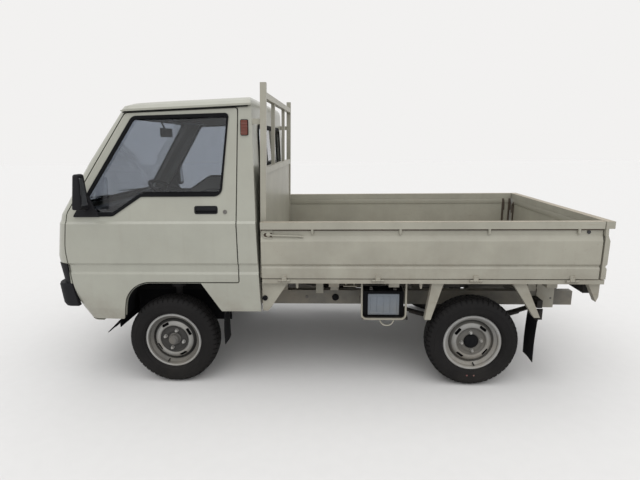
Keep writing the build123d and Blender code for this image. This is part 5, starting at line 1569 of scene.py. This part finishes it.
# Steering wheel, in its own plane
STEER_RADIUS = 0.172
STEER_GRIP = 0.0125
GRIP_BUMPS = 36
SPOKE_ANGLES = (100, 180, 260)
SPOKE_ROWS = [(0.02, -0.017), (0.165, -0.012), (0.165, 0.012), (0.02, 0.017)]
STEER_PAD = [(-0.024, 0.0), (-0.024, 0.030), (0.002, 0.036), (0.008, 0.033), (0.0105, 0.024), (0.0105, 0.0)]


class TRUCK_OT_steering(bpy.types.Operator):
    """Steering wheel with grip, spokes and centre pad"""
    bl_idname = "truck.steering"
    bl_label = "Steering wheel"

    def execute(self, context):
        start()
        bpy.ops.mesh.primitive_torus_add(major_radius=STEER_RADIUS, minor_radius=STEER_GRIP,
                                         major_segments=72, minor_segments=14)
        ring = context.object
        for vertex in ring.data.vertices:
            turn = math.atan2(vertex.co.y, vertex.co.x)
            out = vertex.co.copy()
            out.z = 0
            middle = out.normalized() * STEER_RADIUS
            swell = 1 + 0.07 * math.cos(turn * GRIP_BUMPS) * (1 if vertex.co.z < 0 else 0)
            vertex.co = middle + (vertex.co - middle) * swell
        parts = [ring]
        for angle in SPOKE_ANGLES:
            turn = Matrix.Rotation(math.radians(angle), 3, "Z")
            points = [turn @ Vector((u, v, -0.007)) for u, v in SPOKE_ROWS]
            parts.append(plate(points, (0, 0, 0.008), 0.003, 3))
        parts.append(turned(STEER_PAD, (0, 0, 0), (0, 0, 1), 36))
        wheel = joined(parts)
        lean = Vector((0, 0, 1)).rotation_difference(STEER_AXIS).to_matrix().to_4x4()
        wheel.data.transform(Matrix.Translation(STEER_CENTRE) @ lean)
        settle(wheel, "steering_grip", "black_plastic", "steering", 45.0)
        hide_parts("steering_wheel")
        return {"FINISHED"}


# Cab's inside. Gauges: place across, radius and word; the others: places across
DASH_X = 1.333
GAUGE_Z = 1.02
NEEDLE_X = 1.3245
GAUGES = ((-0.395, 0.042, "speed"), (-0.290, 0.034, "fuel"))
VENTS_Y = (-0.56, 0.10, 0.50)
VENT_SLATS = 4
PEDALS_Y = (-0.42, -0.33, -0.24)
VISORS_Y = ((-0.33, "right"), (0.33, "left"))
COLUMN_LINE = [(1.20, -0.340, 0.979), (1.262, -0.340, 0.974), (1.33, -0.340, 0.93)]
RADIO_KNOB = [(0.0, 0.0), (0.0, 0.011), (0.014, 0.009), (0.014, 0.0)]
GEAR_KNOB = [(0.0, 0.0), (0.0, 0.012), (0.02, 0.021), (0.038, 0.019), (0.046, 0.0)]
GEAR_BOOT = [(0.0, 0.0), (0.0, 0.075), (0.012, 0.07), (0.03, 0.045), (0.045, 0.05), (0.06, 0.03),
             (0.075, 0.032), (0.1, 0.014), (0.1, 0.0)]
# Floor mat, cut round the wheel houses: along and across
MAT_ROWS = [(1.055, -0.37), (1.228, -0.37), (1.228, -0.62), (1.34, -0.62), (1.34, 0.62), (1.228, 0.62),
            (1.228, 0.37), (1.055, 0.37)]


def gauge(y, radius, word):
    """Dial with its needle."""
    section = [(-0.004, 0.0), (-0.004, radius), (0.003, radius), (0.004, radius * 0.96),
               (0.001, radius * 0.92), (0.0, 0.0)]
    dial = turned(section, (1.327, y, GAUGE_Z), (-1, 0, 0), 40)
    settle(dial, f"gauge_{word}", "dark_face_and_shade", "chassis", 30.0)
    foot = GAUGE_Z - 0.002
    tip = GAUGE_Z + radius * 0.6
    slant = radius * 0.55
    rows = [(y - 0.0012, foot), (y + 0.0012, foot), (y + 0.0012 - slant, tip), (y - 0.0012 - slant, tip)]
    needle = plate([(NEEDLE_X, across, z) for across, z in rows], (-0.001, 0, 0))
    settle(needle, f"needle_{word}", "red_lens", "chassis", 30.0)


def air_vent(y):
    """Slats and frame of one vent in the dashboard."""
    slats = []
    for step in range(VENT_SLATS):
        height = 0.975 + step * 0.013
        slats.append(block((DASH_X - 0.010, y - 0.045, height), (DASH_X + 0.006, y + 0.045, height + 0.003),
                           0.001, 1))
    left = y - 0.052
    right = y + 0.052
    rows = rounded([(left, 0.966, 0.008), (right, 0.966, 0.008), (right, 1.024, 0.008),
                    (left, 1.024, 0.008)], 4)
    slats.append(frame_on(lambda across, z, proud: Vector((DASH_X + proud, across, z)), rows, 0.0, 0.007,
                          0.004, (-0.010, 0, 0), 0.002))
    settle(joined(slats), f"air_vent_{int(round((y + 0.6) * 100)):03d}", "black_plastic", "chassis", 30.0)


class TRUCK_OT_cab_inside(bpy.types.Operator):
    """Gauges, vents, radio, glove box, pedals, levers, visors, floor mat and the inner mirror"""
    bl_idname = "truck.cab_inside"
    bl_label = "Cab inside"

    def execute(self, context):
        for y, radius, word in GAUGES:
            gauge(y, radius, word)
        for y in VENTS_Y:
            air_vent(y)
        radio = block((1.3215, -0.115, 0.90), (1.336, 0.065, 0.955), 0.003)
        settle(radio, "radio", "dark_face_and_shade", "chassis", 30.0)
        knobs = [turned(RADIO_KNOB, (1.3215, y, 0.927), (-1, 0, 0), 24) for y in (-0.098, 0.048)]
        settle(joined(knobs), "radio_knobs", "black_plastic", "chassis")
        lid = block((1.324, 0.16, 0.872), (1.334, 0.50, 0.95), 0.004, 3)
        settle(lid, "glove_lid", "grey_plastic", "chassis", 30.0)
        settle(bar(COLUMN_LINE, 0.03, rounds=4), "column_shroud", "black_plastic", "chassis", 50.0)
        pedals = []
        for y in PEDALS_Y:
            pedals.append(block((1.226, y - 0.028, 0.600), (1.234, y + 0.028, 0.665), 0.003, 2))
            pedals.append(bar([(1.234, y, 0.64), (1.30, y, 0.72), (1.345, y, 0.862)], 0.006))
        settle(joined(pedals), "pedals", "black_steel", "chassis")
        lever = joined([
            bar([(1.09, 0.0, 0.53), (1.085, 0.0, 0.66), (1.045, 0.0, 0.80)], 0.008),
            turned(GEAR_KNOB, (1.045, 0.0, 0.795), (-0.28, 0, 0.96), 24),
            turned(GEAR_BOOT, (1.09, 0.0, 0.531), (0, 0, 1), 32)])
        settle(lever, "gear_lever", "black_plastic", "chassis")
        brake = joined([
            bar([(0.98, -0.02, 0.79), (1.03, -0.02, 0.80), (1.12, -0.02, 0.835)], 0.010),
            bar([(1.10, -0.02, 0.827), (1.19, -0.02, 0.862)], 0.015, rounds=3)])
        settle(brake, "hand_brake", "black_plastic", "chassis")
        for y, label in VISORS_Y:
            visor = block((0.965, y - 0.19, 1.575), (1.085, y + 0.19, 1.590), 0.006, 3)
            settle(visor, f"sun_visor_{label}", "grey_plastic", "chassis", 30.0)
        inner_mirror = joined([
            block((1.075, -0.10, 1.475), (1.089, 0.10, 1.535), 0.006, 3),
            bar([(1.088, 0.0, 1.52), (1.11, 0.0, 1.575)], 0.006)])
        settle(inner_mirror, "inner_mirror", "black_plastic", "chassis")
        mat = plate([(x, y, 0.5302) for x, y in MAT_ROWS], (0, 0, 0.0043), 0.0015)
        settle(mat, "floor_mat", "flap_rubber", "chassis", 30.0)
        return {"FINISHED"}


PAD_VOXEL = 0.009
PAD_PRESSURE = 4.0
CLOTH_FRAMES = 15


def swollen(piece, cap):
    """Swell a pad with cloth pressure, never further than the cap."""
    with_modifier(piece, "REMESH", mode="VOXEL", voxel_size=PAD_VOXEL)
    rest = [vertex.co.copy() for vertex in piece.data.vertices]
    work_on(piece)
    cloth = piece.modifiers.new("Cloth", "CLOTH")
    cloth.settings.use_pressure = True
    cloth.settings.uniform_pressure_force = PAD_PRESSURE
    cloth.settings.effector_weights.gravity = 0.0
    cloth.settings.quality = 4
    scene = bpy.context.scene
    for step in range(1, CLOTH_FRAMES + 1):
        scene.frame_set(step)
    bpy.ops.object.modifier_apply(modifier=cloth.name)
    scene.frame_set(1)
    for vertex, place in zip(piece.data.vertices, rest):
        move = vertex.co - place
        if move.length > cap:
            vertex.co = place + move.normalized() * cap
    return piece


# Seat pads: word, outline along the truck and in height, how far the ends stand in, share of the crown
SEAT_PADS = (
    ("cushion", [(0.595, 0.797), (0.985, 0.797), (0.997, 0.835), (0.985, 0.864), (0.78, 0.866),
                 (0.588, 0.856)], 0.018, 1.0),
    ("back", [(0.500, 0.872), (0.565, 0.885), (0.478, 1.295), (0.462, 1.303), (0.424, 1.296)], 0.03, 1.0),
    ("headrest", [(0.424, 1.322), (0.460, 1.322), (0.452, 1.424), (0.418, 1.424)], 0.14, 0.6),
)
SEATS = ((0.078, 0.582, "left"), (-0.582, -0.078, "right"))


class TRUCK_OT_seats(bpy.types.Operator):
    """Two seats with swollen cushions, backs and headrests, headrest posts and runners"""
    bl_idname = "truck.seats"
    bl_label = "Seats"

    def execute(self, context):
        crown = context.scene.truck_sizes.seat_crown
        for low, high, label in SEATS:
            for word, rows, inset, share in SEAT_PADS:
                near = low + inset
                far = high - inset
                pad = plate_along(rows, near, (0, far - near, 0), 0.008)
                swollen(pad, crown * share)
                settle(pad, f"seat_{word}_{label}", "seat_vinyl", "chassis", 60.0)
                if word == "cushion" and label == "left":
                    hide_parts("seats")
            middle = (low + high) / 2
            posts = [bar([(0.444, y, 1.29), (0.441, y, 1.34)], 0.006) for y in (middle - 0.06, middle + 0.06)]
            settle(joined(posts), f"headrest_posts_{label}", "bright_steel", "chassis", 60.0)
            runner = joined([
                block((0.60, low + 0.05, 0.7801), (0.95, low + 0.08, 0.797), 0.002),
                block((0.60, high - 0.08, 0.7801), (0.95, high - 0.05, 0.797), 0.002)])
            settle(runner, f"seat_runner_{label}", "black_steel", "chassis", 30.0)
        return {"FINISHED"}


# Rubber stops: along the truck, height, across and radius
RUBBER_STOPS = ((0.321, 0.546, 0.668, 0.0155), (-0.086, 0.446, 0.371, 0.022))
# Plates that carry the bed, for the left side: two corners and rounding; then their bolts' places
BED_PLATES = [
    ((-0.104, 0.369, 0.500), (-0.056, 0.375, 0.60), 0.002),
    ((-0.454, 0.369, 0.500), (-0.406, 0.375, 0.60), 0.002),
    ((-0.008, 0.3705, 0.475), (0.040, 0.378, 0.602), 0.002),
    ((-1.470, 0.3705, 0.385), (-1.360, 0.3755, 0.600), 0.002),
    ((-0.215, 0.585, 0.600), (-0.135, 0.625, 0.6045), 0.0015),
    ((-0.205, 0.600, 0.603), (-0.195, 0.610, 0.643), 0.0015),
    ((-0.155, 0.600, 0.603), (-0.145, 0.610, 0.643), 0.0015),
]
BED_BOLTS = [(-0.080, 0.375, 0.560), (-0.430, 0.375, 0.560), (0.016, 0.378, 0.560)]
FRAME_BOLTS_X = (-1.45, -1.05, -0.7, -0.25, 0.1, 0.4)
SHACKLE_BOLTS_Z = (0.324, 0.363)
PIPES_Y = (0.352, 0.338)
PIPE_Z = 0.398


class TRUCK_OT_under_bed(bpy.types.Operator):
    """Rubber stops, brackets, frame bolts, spring shackles and brake pipes under the bed"""
    bl_idname = "truck.under_bed"
    bl_label = "Under bed"

    def execute(self, context):
        stops = []
        plates = []
        shackles = []
        for side, label in SIDES:
            for x, z, y, radius in RUBBER_STOPS:
                section = [(-0.001, 0.0), (-0.001, radius), (0.006, radius), (0.010, radius - 0.004),
                           (0.010, 0.0)]
                stops.append(turned(section, (x, side * y, z), (0, side, 0), 24))
            for low, high, bevel in BED_PLATES:
                plates.append(side_block(side, low, high, bevel))
            spots = [(x, side * y, z) for x, y, z in BED_BOLTS]
            plates.append(bolts(spots, (0, side, 0), 0.006, 0.005))
            shackles.append(side_block(side, (-1.405, 0.385, 0.306), (-1.365, 0.391, 0.381), 0.0025))
            spots = [(-1.385, side * 0.391, height) for height in SHACKLE_BOLTS_Z]
            shackles.append(bolts(spots, (0, side, 0), 0.008, 0.006))
        settle(joined(stops), "rubber_stops", "flap_rubber", "chassis")
        settle(joined(plates), "bed_brackets", "bed_paint", "chassis", 30.0)
        settle(joined(shackles), "spring_shackles", "black_steel", "chassis", 30.0)
        heads = [bolt((x, side * 0.370, 0.448), (0, side, 0), 0.008, 0.006)
                 for side, label in SIDES for x in FRAME_BOLTS_X]
        settle(joined(heads), "frame_bolts", "worn_casting", "chassis", 30.0)
        pipes = [bar([(x, y, PIPE_Z) for x in (1.0, 0.4, -0.4, -0.8)], 0.0035) for y in PIPES_Y]
        settle(joined(pipes), "brake_pipes", "black_steel", "chassis", 60.0)
        return {"FINISHED"}


# Black sheets on the frame's outside in the front wheel arches, for the left side: partly liners, and partly
# painted shade over the frame inside the arches
ARCH_SHADE_LINERS = [
    ((0.600, 0.3706, 0.395), (1.232, 0.3726, 0.505)),
    ((0.600, 0.3706, 0.290), (0.790, 0.3726, 0.400)),
    ((1.020, 0.3706, 0.300), (1.232, 0.3726, 0.400)),
]
# Black strips round the front arches that paint the shade inside them, along the truck and in height, with
# corner radii: first inside the cab's opening, then inside the door's
CAB_ARCH = [(0.700, 0.6392, 0.0002), (1.1138, 0.6392, 0.1612), (1.1578, 0.4345, 0.0002),
            (1.1562, 0.4345, 0.0002), (1.1125, 0.6376, 0.1596), (0.700, 0.6376, 0.0002)]
DOOR_ARCH = [(0.700, 0.6473, 0.0002), (1.1203, 0.6473, 0.1693), (1.1722, 0.4095, 0.0002),
             (1.1710, 0.4095, 0.0002), (1.1193, 0.6463, 0.1683), (0.700, 0.6463, 0.0002)]
# Black strip under each roof gutter: painted shadow of the gutter
GUTTER_SHADOW = [(1.085, 1.6003), (0.385, 1.6247), (0.385, 1.6297), (1.085, 1.6053)]


class TRUCK_OT_arches(bpy.types.Operator):
    """Black liners and strips in the front wheel arches, partly painted shade there, and painted shadow
    strips under the gutters
    """
    bl_idname = "truck.arches"
    bl_label = "Arches and seals"

    def execute(self, context):
        liners = []
        for side, label in SIDES:
            for low, high in ARCH_SHADE_LINERS:
                liners.append(side_block(side, low, high, 0.0006, 1))
            strip = plate_on(on_side(side), rounded(CAB_ARCH, 8), -0.006, (0, -side * 0.09, 0))
            settle(strip, f"arch_shade_edge_{label}", "flap_rubber", "chassis", 30.0)
            strip = plate_on(on_side(side), rounded(DOOR_ARCH, 8), -0.0016, (0, -side * 0.03, 0))
            settle(strip, f"door_arch_edge_{label}", "flap_rubber", f"{label}_door", 30.0)
            strip = plate_along(GUTTER_SHADOW, side * 0.606, (0, side * 0.013, 0), 0.001, 1)
            settle(strip, f"gutter_shadow_{label}", "flap_rubber", "chassis", 30.0)
        settle(joined(liners), "arch_shade_liners", "flap_rubber", "chassis", 30.0)
        return {"FINISHED"}


STEPS = (
    ("truck.stage", "Stage"), ("truck.finishes", "Finishes"), ("truck.tyres", "Tyres"),
    ("truck.rims", "Rims"), ("truck.glazing", "Glazing"), ("truck.mirrors", "Mirrors"),
    ("truck.door_fittings", "Door fittings"), ("truck.wipers", "Wipers"), ("truck.nose", "Nose"),
    ("truck.gate_fittings", "Gate fittings"), ("truck.guard_fittings", "Guard fittings"),
    ("truck.battery", "Battery"), ("truck.flaps", "Mud flaps"), ("truck.tail", "Tail"),
    ("truck.steering", "Steering wheel"), ("truck.cab_inside", "Cab inside"),
    ("truck.under_bed", "Under bed"), ("truck.arches", "Arches and seals"), ("truck.seats", "Seats"),
)


class TRUCK_PT_panel(bpy.types.Panel):
    """Sidebar panel with the truck's steps, sizes and colours"""
    bl_idname = "TRUCK_PT_panel"
    bl_label = "Kei truck"
    bl_space_type = "VIEW_3D"
    bl_region_type = "UI"
    bl_category = "Truck"

    def draw(self, context):
        for group in (context.scene.truck_colours, context.scene.truck_sizes):
            for key in group.bl_rna.properties.keys():
                if key not in ("rna_type", "name"):
                    self.layout.prop(group, key)
        for idname, label in STEPS:
            self.layout.operator(idname, text=label)


CLASSES = (
    TruckColours, TruckSizes, TRUCK_OT_stage, TRUCK_OT_finishes, TRUCK_OT_tyres, TRUCK_OT_rims,
    TRUCK_OT_glazing, TRUCK_OT_mirrors, TRUCK_OT_door_fittings, TRUCK_OT_wipers, TRUCK_OT_nose,
    TRUCK_OT_gate_fittings, TRUCK_OT_guard_fittings, TRUCK_OT_battery, TRUCK_OT_flaps, TRUCK_OT_tail,
    TRUCK_OT_steering, TRUCK_OT_cab_inside, TRUCK_OT_under_bed, TRUCK_OT_arches, TRUCK_OT_seats,
    TRUCK_PT_panel,
)


def register():
    """Register the classes and the two groups of settings."""
    for each in CLASSES:
        bpy.utils.register_class(each)
    bpy.types.Scene.truck_colours = PointerProperty(type=TruckColours)
    bpy.types.Scene.truck_sizes = PointerProperty(type=TruckSizes)


def unregister():
    """Take the classes and settings away again."""
    del bpy.types.Scene.truck_sizes
    del bpy.types.Scene.truck_colours
    for each in reversed(CLASSES):
        bpy.utils.unregister_class(each)


def main():
    """Run every step in order."""
    register()
    for idname, _ in STEPS:
        area, name = idname.split(".")
        getattr(getattr(bpy.ops, area), name)()
    start()


if __name__ == "__main__":
    main()
